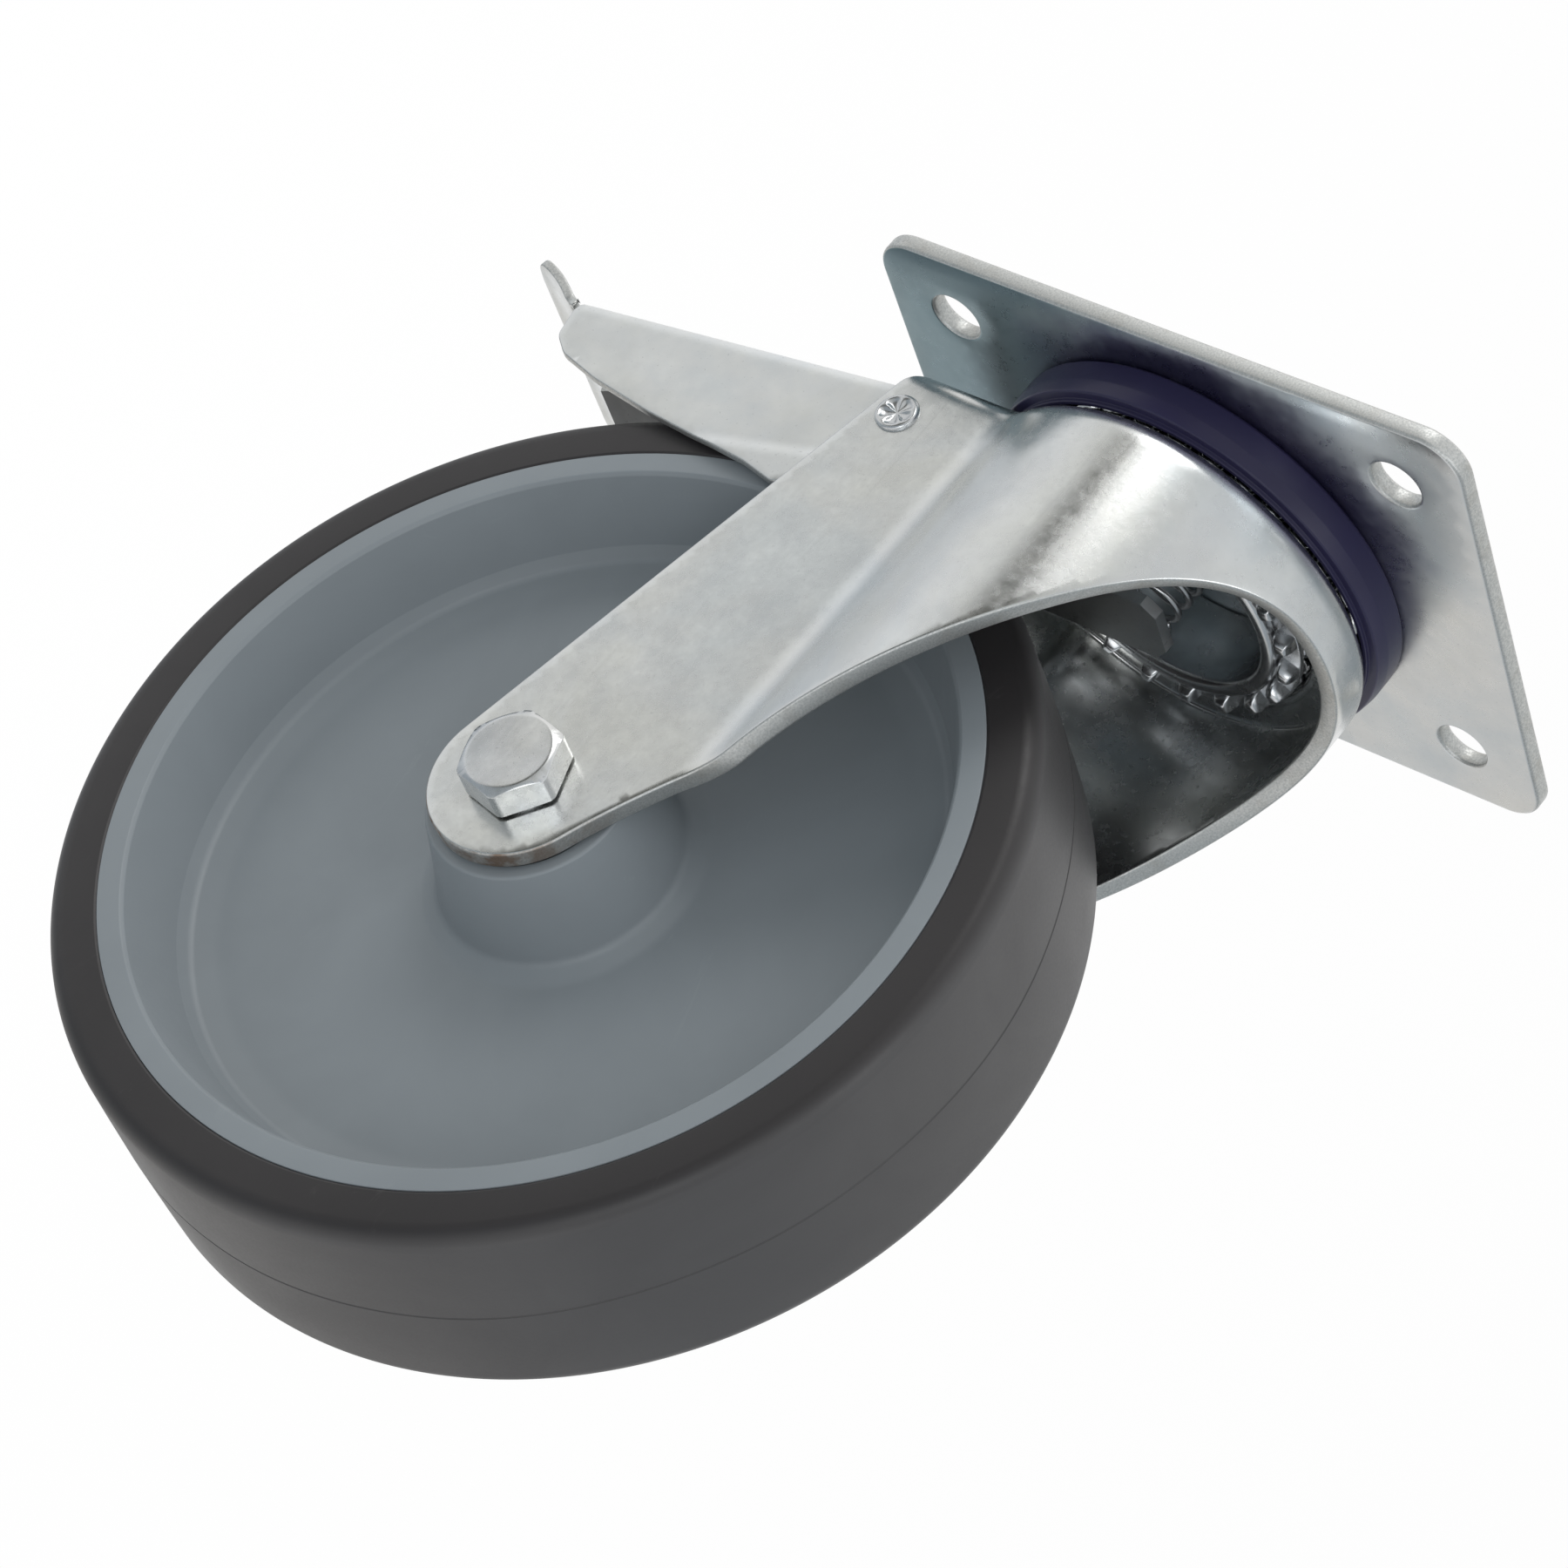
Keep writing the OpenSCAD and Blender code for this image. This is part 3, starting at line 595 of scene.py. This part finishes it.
def fork_side():
    """Lower edge of the fork seen from the side: the front arch, round the axle, and up the rear."""
    axle = AXLE[[0, 2]]
    low_slope, mid_slope = turn(65.8), turn(52.5)
    front_low = axle + LEG_END_R * turn(-24.2)
    front_mid = np.array([14.0, -54.8])
    front_top = np.array([47.5, -25.6])
    upper = bezier(front_top, (36.5, -25.7), front_mid + 16.5 * mid_slope, front_mid, 60)
    lower = bezier(front_mid, front_mid - 32.5 * mid_slope, front_low + 28.9 * low_slope, front_low, 90)
    arch = np.vstack([upper, lower[1:]])
    arch = arch[arch[:, 0] <= CROWN_R]
    start_z = np.interp(CROWN_R, [arch[0, 0], front_top[0]], [arch[0, 1], front_top[1]])
    end = np.array([axle + LEG_END_R * turn(w) for w in np.arange(-26, -192.4 - 1, -2.2)])
    shoulder = bezier(REAR_CORNER, (-56.8, -16), (-54.6, CROWN_TOP), (CROWN_REAR, CROWN_TOP), 14)[1:]
    return np.vstack([[[CROWN_R, start_z]], arch, end, [REAR_CORNER], shoulder])


def crown_step():
    """Developed outline of the crown's flat top where it meets the step, from the rear to the front."""
    step = [(float(along_fork(x)), W_MIDDLE - math.sqrt(max(RISE_R ** 2 - x * x, 0)))
            for x in np.linspace(-RISE_R, blend_x, 6)[1:]]
    c = np.array([blend_x, blend_y])
    for psi in np.linspace(0, psi_end, 26)[1:]:
        b = float(c @ np.array([math.sin(psi), -math.cos(psi)]))
        t = -b - math.sqrt(max(b * b - (c @ c - RISE_R ** 2), 0))
        step.append((s_leg - BLEND * psi, W_TOP + t - BLEND - FILLET))
    step += [(s, W_TOP + CROWN_R - FILLET - RISE_R) for s in np.linspace(s_crown, 0, 60)[1:]]
    return step


def make_fork():
    side = fork_side()
    low_edge = resample(np.c_[along_fork(side[:, 0]), fork_height(side[:, 1])], 0.9)[:-1]
    across = np.linspace(W_TOP, W_MIDDLE, 32)
    rear_edge = np.c_[np.full(len(across), float(along_fork(CROWN_REAR))), across]
    middle = np.array([[float(along_fork(x)), W_MIDDLE] for x in np.linspace(CROWN_REAR, -RISE_R, 16)][1:])
    step = crown_step()
    front = resample([(0.0, step[-1][1]), (0.0, float(low_edge[0, 1]))], 1.5)[1:-1]
    outline = np.vstack([low_edge, rear_edge, middle, np.array(step), front])
    rims = np.zeros(len(outline), bool)
    rims[:len(low_edge) + len(rear_edge) - 1] = True
    verts, faces, mat = mirrored(*sheet_metal([(outline, rims)], place_fork, SHEET, 0.55, 1.5))
    under = CROWN_TOP - SHEET
    rise = rounded([(CROWN_BORE_R, CROWN_TOP + 4), (RISE_R, CROWN_TOP + 4), (RISE_R + 0.2, under),
                    (BEARING_R, under), (BEARING_R, CROWN_TOP), (CROWN_BORE_R, CROWN_TOP)],
                   [0.8, 1.5, 0.1, 0.6, 1.2, 0.5], 4)
    rise_verts, rise_faces = lathe(rise, 160, about_swivel)
    faces += shifted(rise_faces, len(verts))
    mat += [0] * len(rise_faces)
    verts = np.vstack([verts, np.array(rise_verts)])
    fork = new_object("fork_shell", verts, faces, "fork", [fork_zinc, edge_stained], mat)
    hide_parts("fork")


make_fork()


# ---------------------------------------------------------------- pedal: a channel with a lip

LEAN = 0.4                      # how far the triangle below a side wall's bend line stands out
WALL_Y = mm_box("pedal")[1][1] - LEAN
BEND = 3.0
PEDAL_SHEET = 2.0
PIN_HOLE_R = 3.75
LIP_LEN = 18.6
web_front = np.array([-61.5, -15.4])
web_rear = np.array([-139.6, -25.2])
WEB_LEN = float(np.linalg.norm(web_rear - web_front))
ex = (web_rear - web_front) / WEB_LEN
ez = np.array([ex[1], -ex[0]])
U_FLAT = WALL_Y - BEND          # developed width at which the top sheet starts to bend
U_WALL = U_FLAT + BEND * math.pi / 2
A_LIP = WEB_LEN + 0.6           # developed length at which the lip starts
lip_l = np.linspace(0, LIP_LEN, 120)
lip_turn = np.radians(np.interp(lip_l, [0, 0.4, 3.4, 8, 13, LIP_LEN], [0, 0, 41, 36, 27, 14]))
lip_head = math.atan2(ex[1], ex[0]) - lip_turn


def lip_run(start, along, direction):
    """One coordinate of the lip's bent line, from where the top sheet ends."""
    run = np.cumsum(direction[1:] * np.diff(lip_l))
    return start + along * A_LIP + np.concatenate([[0], run])


lip_x = lip_run(web_front[0], ex[0], np.cos(lip_head))
lip_z = lip_run(web_front[1], ex[1], np.sin(lip_head))


def pedal_uv(x, z):
    """Developed coordinates of a point on the side wall."""
    d = np.stack([np.asarray(x) - web_front[0], np.asarray(z) - web_front[1]], -1)
    a = d @ ex
    b = d @ ez
    return np.stack([U_WALL + np.maximum(-b - BEND, -BEND * math.pi / 2), a], -1)


def place_pedal(p):
    """Outer surface and normals of one half of the pedal, from its developed coordinates."""
    u, a = p[:, 0], p[:, 1]
    w = np.clip((u - U_FLAT) / BEND, 0, math.pi / 2)
    y = np.minimum(u, U_FLAT) + BEND * np.sin(w)
    drop = BEND * (1 - np.cos(w)) + np.maximum(u - U_WALL, 0)
    pos = np.c_[web_front[0] + ex[0] * a - ez[0] * drop, y, web_front[1] + ex[1] * a - ez[1] * drop]
    nor = np.c_[ez[0] * np.cos(w), np.sin(w), ez[1] * np.cos(w)]
    in_lip = (a > A_LIP) | ((a > WEB_LEN - 0.4) & (u < U_FLAT + 0.01) & (a > A_LIP - 1.0))
    l = np.clip(a - A_LIP, 0, LIP_LEN)
    h = np.interp(l, lip_l, lip_head)
    before = np.where(a < A_LIP, a - A_LIP, 0)
    lip = np.c_[np.interp(l, lip_l, lip_x) + before * ex[0], u, np.interp(l, lip_l, lip_z) + before * ex[1]]
    lip_n = np.c_[np.sin(h), np.zeros(len(h)), -np.cos(h)]
    lip_n *= np.where(lip_n[:, 2:3] < 0, -1, 1)
    pos = np.where(in_lip[:, None], lip, pos)
    nor = np.where(in_lip[:, None], lip_n, nor)
    # the triangle below the side wall's slanted bend line is set out a little
    a0, a1 = np.array([-91.0, -44.9]), np.array([-64.5, -37.6])
    d = (a1 - a0) / np.linalg.norm(a1 - a0)
    below = -((pos[:, 0] - a0[0]) * -d[1] + (pos[:, 2] - a0[1]) * d[0])
    lean = np.where((u > U_WALL) & (below > 0), below, 0)
    pos[:, 1] += np.minimum(0.22 * lean, LEAN)
    return pos, nor


def pedal_edge():
    """Developed cut edge of half the pedal: front end, ear round the pin, side wall, notch and lip."""
    ear = [tuple(PIVOT[[0, 2]] + 8 * turn(w)) for w in np.arange(112, 4, -6)]
    wall = [(-61.0, -17.6), (-59.6, -18.9)] + ear
    wall += [(-38.0, -25.2), (-38.0, -32.0), (-60.0, -43.6), (-69, -48.6), (-78, -46.7), (-106, -44.4)]
    wall += [(-122.4, -42.1), (-133.5, -39.3), (-138.2, -35.6), (-139.3, -30.0), (-139.6, -28.6)]
    radii = [0, 1] + [0] * len(ear) + [1, 1.5, 3, 2.5, 6, 20, 25, 5, 4, 6, 0]
    wall = np.array(rounded(wall, radii, 6, closed=False))
    notch = [(U_FLAT + 0.9 + 1.3 * math.cos(w), WEB_LEN + 0.9 + 1.3 * math.sin(w))
             for w in np.radians(np.arange(-60, -301, -20))]
    tip = A_LIP + LIP_LEN
    lip = rounded([(U_FLAT + 1.2, A_LIP + 1.35), (WALL_Y - 0.3, A_LIP + 2.2), (WALL_Y - 0.2, tip - 1),
                   (22, tip), (0, tip)], [0, 1.5, 6, 1, 0], 8, closed=False)
    return resample(np.vstack([[(0, 0), (U_FLAT, 0), (U_WALL - 1.2, 0.2)], pedal_uv(wall[:, 0], wall[:, 1]),
                               [(U_WALL - 0.6, WEB_LEN + 0.1)], notch, lip]), 0.9)


def make_pedal():
    edge = pedal_edge()
    middle = resample([(0.0, edge[-1, 1]), (0.0, 0.0)], 1.4)[1:-1]
    outline = np.vstack([edge, middle])
    rims = np.zeros(len(outline), bool)
    rims[:len(edge) - 1] = True
    pin = pedal_uv(PIVOT[0], PIVOT[2])
    hole = np.array([(pin[0] + PIN_HOLE_R * math.cos(w), pin[1] + PIN_HOLE_R * math.sin(w))
                     for w in -np.linspace(0, 2 * math.pi, 41)[:-1]])
    loops = [(outline, rims), (hole, np.ones(len(hole), bool))]
    verts, faces, mat = mirrored(*sheet_metal(loops, place_pedal, PEDAL_SHEET, 0.4, 1.3))
    pedal = new_object("pedal_shell", verts, faces, "pedal", [pedal_zinc, edge_zinc], mat)
    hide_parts("pedal")


make_pedal()


# ---------------------------------------------------------------- top plate

CORNER_R = 9.0
HOLE_R = 5.5
HOLE_X, HOLE_Y = 52.5, 38.75    # bolt holes' centres


def place_plate(p):
    return np.c_[p, np.zeros(len(p))], np.tile([0.0, 0.0, 1.0], (len(p), 1))


def make_plate():
    hx, hy = plate_high[0], plate_high[1]
    outline = rounded([(hx, -hy), (hx, hy), (-hx, hy), (-hx, -hy)], CORNER_R, 14)
    outline = resample(np.array(outline + [outline[0]]), 1.6)[:-1]
    loops = [(outline, np.ones(len(outline), bool))]
    for x in (-HOLE_X, HOLE_X):
        for y in (-HOLE_Y, HOLE_Y):
            hole = [(x + HOLE_R * math.cos(w), y + HOLE_R * math.sin(w))
                    for w in -np.linspace(0, 2 * math.pi, 49)[:-1]]
            loops.append((hole, np.ones(len(hole), bool)))
    verts, faces, mat = sheet_metal(loops, place_plate, SHEET, 0.8, 4.0)
    plate = new_object("plate_sheet", verts, faces, "plate", [plate_zinc, edge_zinc], mat)
    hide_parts("top_plate")


make_plate()


# ---------------------------------------------------------------- turned pieces

def turned_piece(name, node, profile, segments, place, body, mat, sharp=None):
    """A closed ring that stands for a CAD node."""
    verts, faces = lathe(profile, segments, place)
    piece = new_object(name, verts, faces, body, [mat], sharp=sharp)
    fix_normals(piece)
    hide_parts(node)
    return piece


def both_sides(half, radii, steps):
    """The rounded outline of a ring that is the same on both sides of the wheel's middle."""
    return rounded(half + [(r, -h) for r, h in reversed(half)], radii + radii[::-1], steps)


# ---------------------------------------------------------------- wheel

RIM_R = 88.6                    # where the tread starts


def place_tread(r, w, h):
    """The moulding's parting line wanders a little round the tread."""
    wander = 0.0
    if r > WHEEL_R - 1 and abs(h) < 1:
        wander = 0.22 * math.sin(5 * w + 1) + 0.15 * math.sin(11 * w)
    return about_axle(r, w, h + wander)


def make_wheel():
    half = [(15.5, 17.2), (17.5, 17.2), (17.5, 27.6), (18.0, 28), (20.8, 28), (22.4, 20), (25.3, 6.6),
            (29.5, 4.9), (71.0, 4.9), (76.6, 5.9), (78.4, 8.8), (83.2, 24.3), (83.9, 25), (RIM_R, 25),
            (RIM_R, 15), (85, 13)]
    radii = [0.3, 0.3, 0.3, 0.3, 0.8, 25, 2.6, 5, 14, 2.2, 1.4, 0.9, 0.5, 0.15, 0.5, 0.5]
    turned_piece("wheel_moulding", "wheel_centre", both_sides(half, radii, 6), 256, about_axle,
                 "wheel", wheel_plastic, sharp=50)
    half = [(85, 13), (RIM_R + 0.05, 15), (RIM_R + 0.05, 24.75), (89.2, 25), (WHEEL_R - 0.7, 24.9),
            (WHEEL_R - 0.45, 14), (WHEEL_R - 0.25, 0.32), (WHEEL_R - 0.45, 0.12)]
    radii = [0.3, 0.3, 0.2, 0.3, 4.2, 20, 0.1, 0]
    turned_piece("tread_rubber_ring", "tread", both_sides(half, radii, 8), 360, place_tread,
                 "wheel", tread_rubber, sharp=50)


make_wheel()


# ---------------------------------------------------------------- swivel head

PIN_BORE_R = 24.0
PIN_R = 26.6
LIP_R = 27.8                    # rolled lower lip of the king pin
TEETH = 20
ring_low, ring_high = mm_box("lock_ring")
ring_bottom = ring_high[2] - 1.25


def make_seal():
    low = mm_box("seal_ring")[0][2]
    profile = rounded([(43.7, PLATE_BOTTOM), (45.2, PLATE_BOTTOM), (45.7, PLATE_BOTTOM - 0.7), (45.7, -9.4),
                       (45.2, -12.5), (43.3, -12.5), (43.3, low), (42.3, low), (42.3, -11.3), (43.7, -9.5)],
                      [0.1, 0.3, 0.5, 3, 0.5, 0.2, 0.2, 0.2, 0.3, 0.5], 6)
    turned_piece("seal_band", "seal_ring", profile, 240, about_swivel, "plate", seal_plastic)


def make_king_pin():
    low = mm_box("king_pin")[0][2]
    head = PLATE_BOTTOM - 2
    profile = rounded([(PIN_BORE_R, PLATE_BOTTOM), (33, PLATE_BOTTOM), (33, head), (PIN_R, head),
                       (PIN_R, ring_bottom), (LIP_R, ring_bottom), (LIP_R, low), (PIN_BORE_R, low)],
                      [0.5, 0.3, 0.3, 0.5, 0.1, 0.4, 1.6, 1.7], 6)
    turned_piece("king_sleeve", "king_pin", profile, 180, about_swivel, "plate", bright_steel)


def make_lock_ring():
    """A flat ring with pressed teeth that taper downwards."""
    profile = rounded([(PIN_R + 0.05, ring_high[2]), (32.6, ring_high[2]), (32.6, ring_bottom),
                       (PIN_R + 0.05, ring_bottom)], 0.3, 4)
    verts, faces = lathe(profile, 180, about_swivel)
    tip = ring_low[2]
    # height, inner and outer radius, and width against the tooth's root
    sections = [(ring_bottom + 0.3, 27.9, 32.35, 1.0), (ring_bottom - 1.6, 28.3, 32.2, 0.86),
                (tip + 0.6, 28.9, 31.9, 0.66), (tip + 0.12, 29.3, 31.6, 0.5), (tip, 29.7, 31.2, 0.34)]
    for k in range(TEETH):
        w = 2 * math.pi * k / TEETH
        ca, sa = math.cos(w), math.sin(w)
        base = len(verts)
        for h, r0, r1, f in sections:
            loop = rounded([(r0, -2.4 * f), (r1, -1.7 * f), (r1, 1.7 * f), (r0, 2.4 * f)], 0.5, 3)
            verts += [(x * ca - y * sa, x * sa + y * ca, h) for x, y in loop]
        faces += stacked_rings(base, len(sections), len(loop))
    teeth = new_object("toothed_ring", verts, faces, "plate", [bright_steel], sharp=60)
    fix_normals(teeth)
    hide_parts("lock_ring")


def make_spring():
    """A coil as tall as the CAD spring; the real one is pressed flatter as the pedal goes down."""
    low, high = (corner[2] for corner in mm_box("lock_spring"))
    turns, per_turn, around, coil_r, wire_r = 6, 36, 12, 6.0, 0.7
    verts = []
    for i in range(turns * per_turn + 1):
        w = 2 * math.pi * i / per_turn
        z = low + wire_r + (high - low - 2 * wire_r) * i / (turns * per_turn)
        for k in range(around):
            a = 2 * math.pi * k / around
            r = coil_r + wire_r * math.cos(a)
            verts.append((r * math.cos(w), r * math.sin(w), z + wire_r * math.sin(a)))
    faces = stacked_rings(0, turns * per_turn + 1, around)
    spring = new_object("spring_coil", verts, faces, "fork", [wire_steel])
    fix_normals(spring)
    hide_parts("lock_spring")
    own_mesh(spring)


make_seal()
make_king_pin()
make_lock_ring()
make_spring()


# ---------------------------------------------------------------- bolt, nut and pivot pin

ACROSS_FLATS = 19.0
WASHER_R, WASHER_H = 8.9, 0.5   # round seat under a hexagon
SHANK_R, ROOT_R, PITCH = 6.0, 5.25, 1.75
BOLT_SPIN = math.radians(50)
NUT_SPIN = math.radians(30)
bolt_low, bolt_high = mm_box("axle_bolt")
nut_low, nut_high = mm_box("axle_nut")


def hexagon(w, corner=0.35):
    """Distance from the centre to a hexagon's side in a direction, with slightly blunted corners."""
    a = (w % (math.pi / 3)) - math.pi / 6
    flat = ACROSS_FLATS / 2 / math.cos(a)
    return min(flat, ACROSS_FLATS / math.sqrt(3) - corner * (1 - abs(abs(a) - math.pi / 6) * 6))


def hex_rings(height, chamfer_r, dish, bore=0.0):
    """Rings of (radius, angle, height) of a hexagon with a turned chamfer, from its seat up."""
    slope = math.tan(math.radians(28))
    ws = [2 * math.pi * k / 192 for k in range(192)]
    sides = [hexagon(w) for w in ws]
    rings = [[(WASHER_R, w, 0.0) for w in ws],
             [(WASHER_R, w, WASHER_H) for w in ws],
             [(r, w, WASHER_H + 0.15) for r, w in zip(sides, ws)],
             [(r, w, height - max(0.0, r - chamfer_r) * slope - 0.10) for r, w in zip(sides, ws)],
             [(r - 0.12, w, height - max(0.0, r - 0.1 - chamfer_r) * slope) for r, w in zip(sides, ws)],
             [(chamfer_r + 0.12, w, height - 0.12 * slope) for w in ws],
             [(chamfer_r - 0.12, w, height - 0.02) for w in ws]]
    for r in np.linspace(chamfer_r - 0.5, max(bore, 0.4), 8):
        rings.append([(r, w, height - dish * (1 - (r / chamfer_r) ** 2)) for w in ws])
    return rings


def make_hexagon(name, node, rings, side, spin):
    """A bolt head (side -1) or nut (side 1) on the outer face of a leg."""
    verts = [about_axle(r, w + spin, side * (LEG + h)) for ring in rings for r, w, h in ring]
    faces = stacked_rings(0, len(rings), len(rings[0]))
    piece = new_object(name, verts, faces, "fork", [bolt_zinc], sharp=25)
    fix_normals(piece)
    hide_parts(node)


def make_shank():
    """The bolt's shank, plain inside the fork and threaded past the far leg."""
    tail = bolt_high[1]
    profile = [(0.01, -LEG - 0.5), (SHANK_R, -LEG - 0.5), (SHANK_R, 32.0)]
    y = 32.5
    while y < tail - 1.2:
        crest = y + PITCH * 0.5
        profile += [(ROOT_R, y), (ROOT_R, y + 0.2), (SHANK_R - 0.02, crest), (SHANK_R - 0.02, crest + 0.2)]
        y += PITCH
    profile += [(5.2, tail), (0.01, tail)]
    turned_piece("bolt_shank", "axle_bolt", profile, 64, about_axle, "fork", bolt_zinc, sharp=40)


def about_pivot(r, w, h):
    return (PIVOT[0] + r * math.cos(w), h, PIVOT[2] + r * math.sin(w))


def make_pivot_pin():
    """A bar whose ends are upset into heads with a five-armed star pressed into them."""
    rows = [(3.6, -0.4), (4.55, -0.3), (4.6, 0.35), (4.35, 0.75), (3.95, 0.9), (3.6, 0.84), (3.2, 0.6),
            (2.8, 0.4), (2.2, 0.3), (1.5, 0.24), (0.8, 0.2), (0.2, 0.18)]
    head_h = 0.9
    per_ring = 120
    verts, faces = [], []
    for side in (-1, 1):
        base = len(verts)
        for r, h in rows:
            for k in range(per_ring):
                w = 2 * math.pi * k / per_ring
                star = 0.5 + 0.5 * math.cos(5 * w + 0.6)
                lift = 0.55 * (1 - star) ** 2 * max(0.0, 1 - abs(r - 2.4) / 1.9) if r < 4.0 else 0.0
                verts.append(about_pivot(r, w, side * (LEG + min(h + lift, head_h))))
        faces += stacked_rings(base, len(rows), per_ring)
    half = LEG - 0.2
    bar_verts, bar_faces = lathe([(3.7, -half), (3.7, half), (0.01, half), (0.01, -half)], 48, about_pivot)
    faces += shifted(bar_faces, len(verts))
    verts += bar_verts
    pivot = new_object("pivot_upset", verts, faces, "fork", [bolt_zinc], sharp=45)
    fix_normals(pivot)
    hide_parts("pivot_pin")


make_hexagon("bolt_head", "axle_bolt", hex_rings(-LEG - bolt_low[1], 8.7, 0.15), -1, BOLT_SPIN)
make_shank()
make_hexagon("nut_body", "axle_nut", hex_rings(nut_high[1] - nut_low[1], 8.6, 0.0, bore=6.05), 1, NUT_SPIN)
make_pivot_pin()


# ---------------------------------------------------------------- materials on the CAD nodes that stay

KEPT = [(bright_steel, ["upper_race", "axle_tube", "bearing_spacer", "side_washers", "near_inner_ring",
                        "far_inner_ring", "near_outer_ring", "far_outer_ring"]),
        (ball_steel, ["upper_balls", "lower_balls", "near_bearing_balls", "far_bearing_balls"]),
        (seal_rubber, ["near_bearing_seals", "far_bearing_seals"]),
        (pedal_zinc, ["brake_shoe", "lock_plate"]),
        (bolt_zinc, ["shoe_rivets"]),
        (nylon, ["nut_insert"])]
for material, names in KEPT:
    for name in names:
        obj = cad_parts[name]
        if not obj.material_slots:
            obj.data.materials.append(material)
        for slot in obj.material_slots:
            slot.material = material


# ---------------------------------------------------------------- floor, light and camera

def floor():
    """A plain pale disc well below the wheel."""
    mesh = bpy.data.meshes.new("studio_floor")
    bm = bmesh.new()
    bmesh.ops.create_circle(bm, cap_ends=True, segments=96, radius=1.2)
    bmesh.ops.translate(bm, verts=bm.verts, vec=(0, 0, -1.6))
    bm.to_mesh(mesh)
    bm.free()
    obj = bpy.data.objects.new("studio_floor", mesh)
    m = Nodes("floor_paint")
    m.set("Base Color", m.mix(m.span(m.noise(3, 3), 0.3, 0.7, 0, 1), (0.80, 0.80, 0.80), (0.86, 0.86, 0.86)))
    m.set("Roughness", 0.7)
    mesh.materials.append(m.mat)
    bpy.context.scene.collection.objects.link(obj)


# brightness round the object, by the angle in degrees from +X towards +Y
AROUND = [(-180, (0.58, 0.61, 0.64)), (-165, (0.72, 0.74, 0.76)), (-150, (0.88, 0.89, 0.90)),
          (-129, (0.86, 0.87, 0.86)), (-118, (0.04, 0.04, 0.03)), (-98, (0.03, 0.03, 0.02)),
          (-88, (0.62, 0.63, 0.61)), (-60, (0.74, 0.75, 0.76)), (-20, (0.80, 0.82, 0.83)),
          (25, (0.66, 0.69, 0.71)), (60, (0.68, 0.69, 0.68)), (95, (0.98, 0.98, 0.98)),
          (150, (1.0, 1.0, 1.0)), (168, (0.64, 0.67, 0.70))]
# the same below the horizon, by the part of the whole turn from -180 degrees
BELOW = [(0.70, (0.36, 0.40, 0.43)), (0.80, (0.66, 0.65, 0.63))]


def sky():
    """Soft studio surroundings: tones by direction, darker below, white overhead."""
    world = bpy.data.worlds.new("studio")
    bpy.context.scene.world = world
    world.use_nodes = True
    tree = world.node_tree
    tree.nodes.clear()
    coord = put(tree, "ShaderNodeTexCoord").outputs["Generated"]
    x, y, z = put(tree, "ShaderNodeSeparateXYZ", {0: coord}).outputs
    angle = put(tree, "ShaderNodeMath", {0: y, 1: x}, operation="ARCTAN2").outputs[0]
    part = put(tree, "ShaderNodeMapRange",
               {"Value": angle, "From Min": -math.pi, "From Max": math.pi}).outputs[0]
    around = color_ramp(tree, part, [((deg + 180) / 360, col) for deg, col in AROUND], "EASE")
    below = color_ramp(tree, part, BELOW, "EASE")

    def rise(low, high):
        """Goes smoothly from 0 to 1 between two heights on the unit sphere."""
        return put(tree, "ShaderNodeMapRange", {"Value": z, "From Min": low, "From Max": high},
                   interpolation_type="SMOOTHSTEP").outputs[0]

    def mix(fac, a, b):
        return put(tree, "ShaderNodeMix", {0: fac, 6: a, 7: b}, data_type="RGBA").outputs[2]

    level = mix(rise(-0.30, 0.10), below, around)
    color = mix(rise(0.55, 0.85), level, (1.0, 1.0, 1.0, 1.0))
    background = put(tree, "ShaderNodeBackground", {0: color, 1: 1.0}).outputs[0]
    put(tree, "ShaderNodeOutputWorld", {0: background})


def soft_light(name, at, aim, size, power):
    """A round area light at one point, turned towards another."""
    data = bpy.data.lights.new(name, "AREA")
    data.shape = "DISK"
    data.size = size
    data.energy = power
    obj = bpy.data.objects.new(name, data)
    obj.location = at
    obj.rotation_euler = (Vector(aim) - Vector(at)).to_track_quat("-Z", "Y").to_euler()
    bpy.context.scene.collection.objects.link(obj)


def camera(at, forward, right, lens):
    """A camera by its place, its view direction and its right-hand direction."""
    data = bpy.data.cameras.new("camera")
    data.sensor_width = 36
    data.lens = lens
    obj = bpy.data.objects.new("camera", data)
    forward, right = Vector(forward).normalized(), Vector(right)
    right = (right - forward * right.dot(forward)).normalized()
    turned = Matrix((right, right.cross(forward), -forward)).transposed().to_4x4()
    obj.matrix_world = Matrix.Translation(at) @ turned
    bpy.context.scene.collection.objects.link(obj)
    bpy.context.scene.camera = obj


floor()
sky()
soft_light("key", (-0.2, -1.1, 0.9), (-0.03, 0, -0.08), 0.7, 4.0)
soft_light("side", (1.2, -0.4, -0.2), (0, 0, -0.08), 0.6, 1.6)
soft_light("fill", (0.85, -1.05, -0.95), (-0.05, 0, -0.13), 0.8, 3.0)
camera((0.47789, -0.68485, -0.43598), (-0.55964, 0.74131, 0.37049), (0.75125, 0.26505, 0.60446), 109.1)
bpy.context.scene.view_settings.view_transform = "Standard"
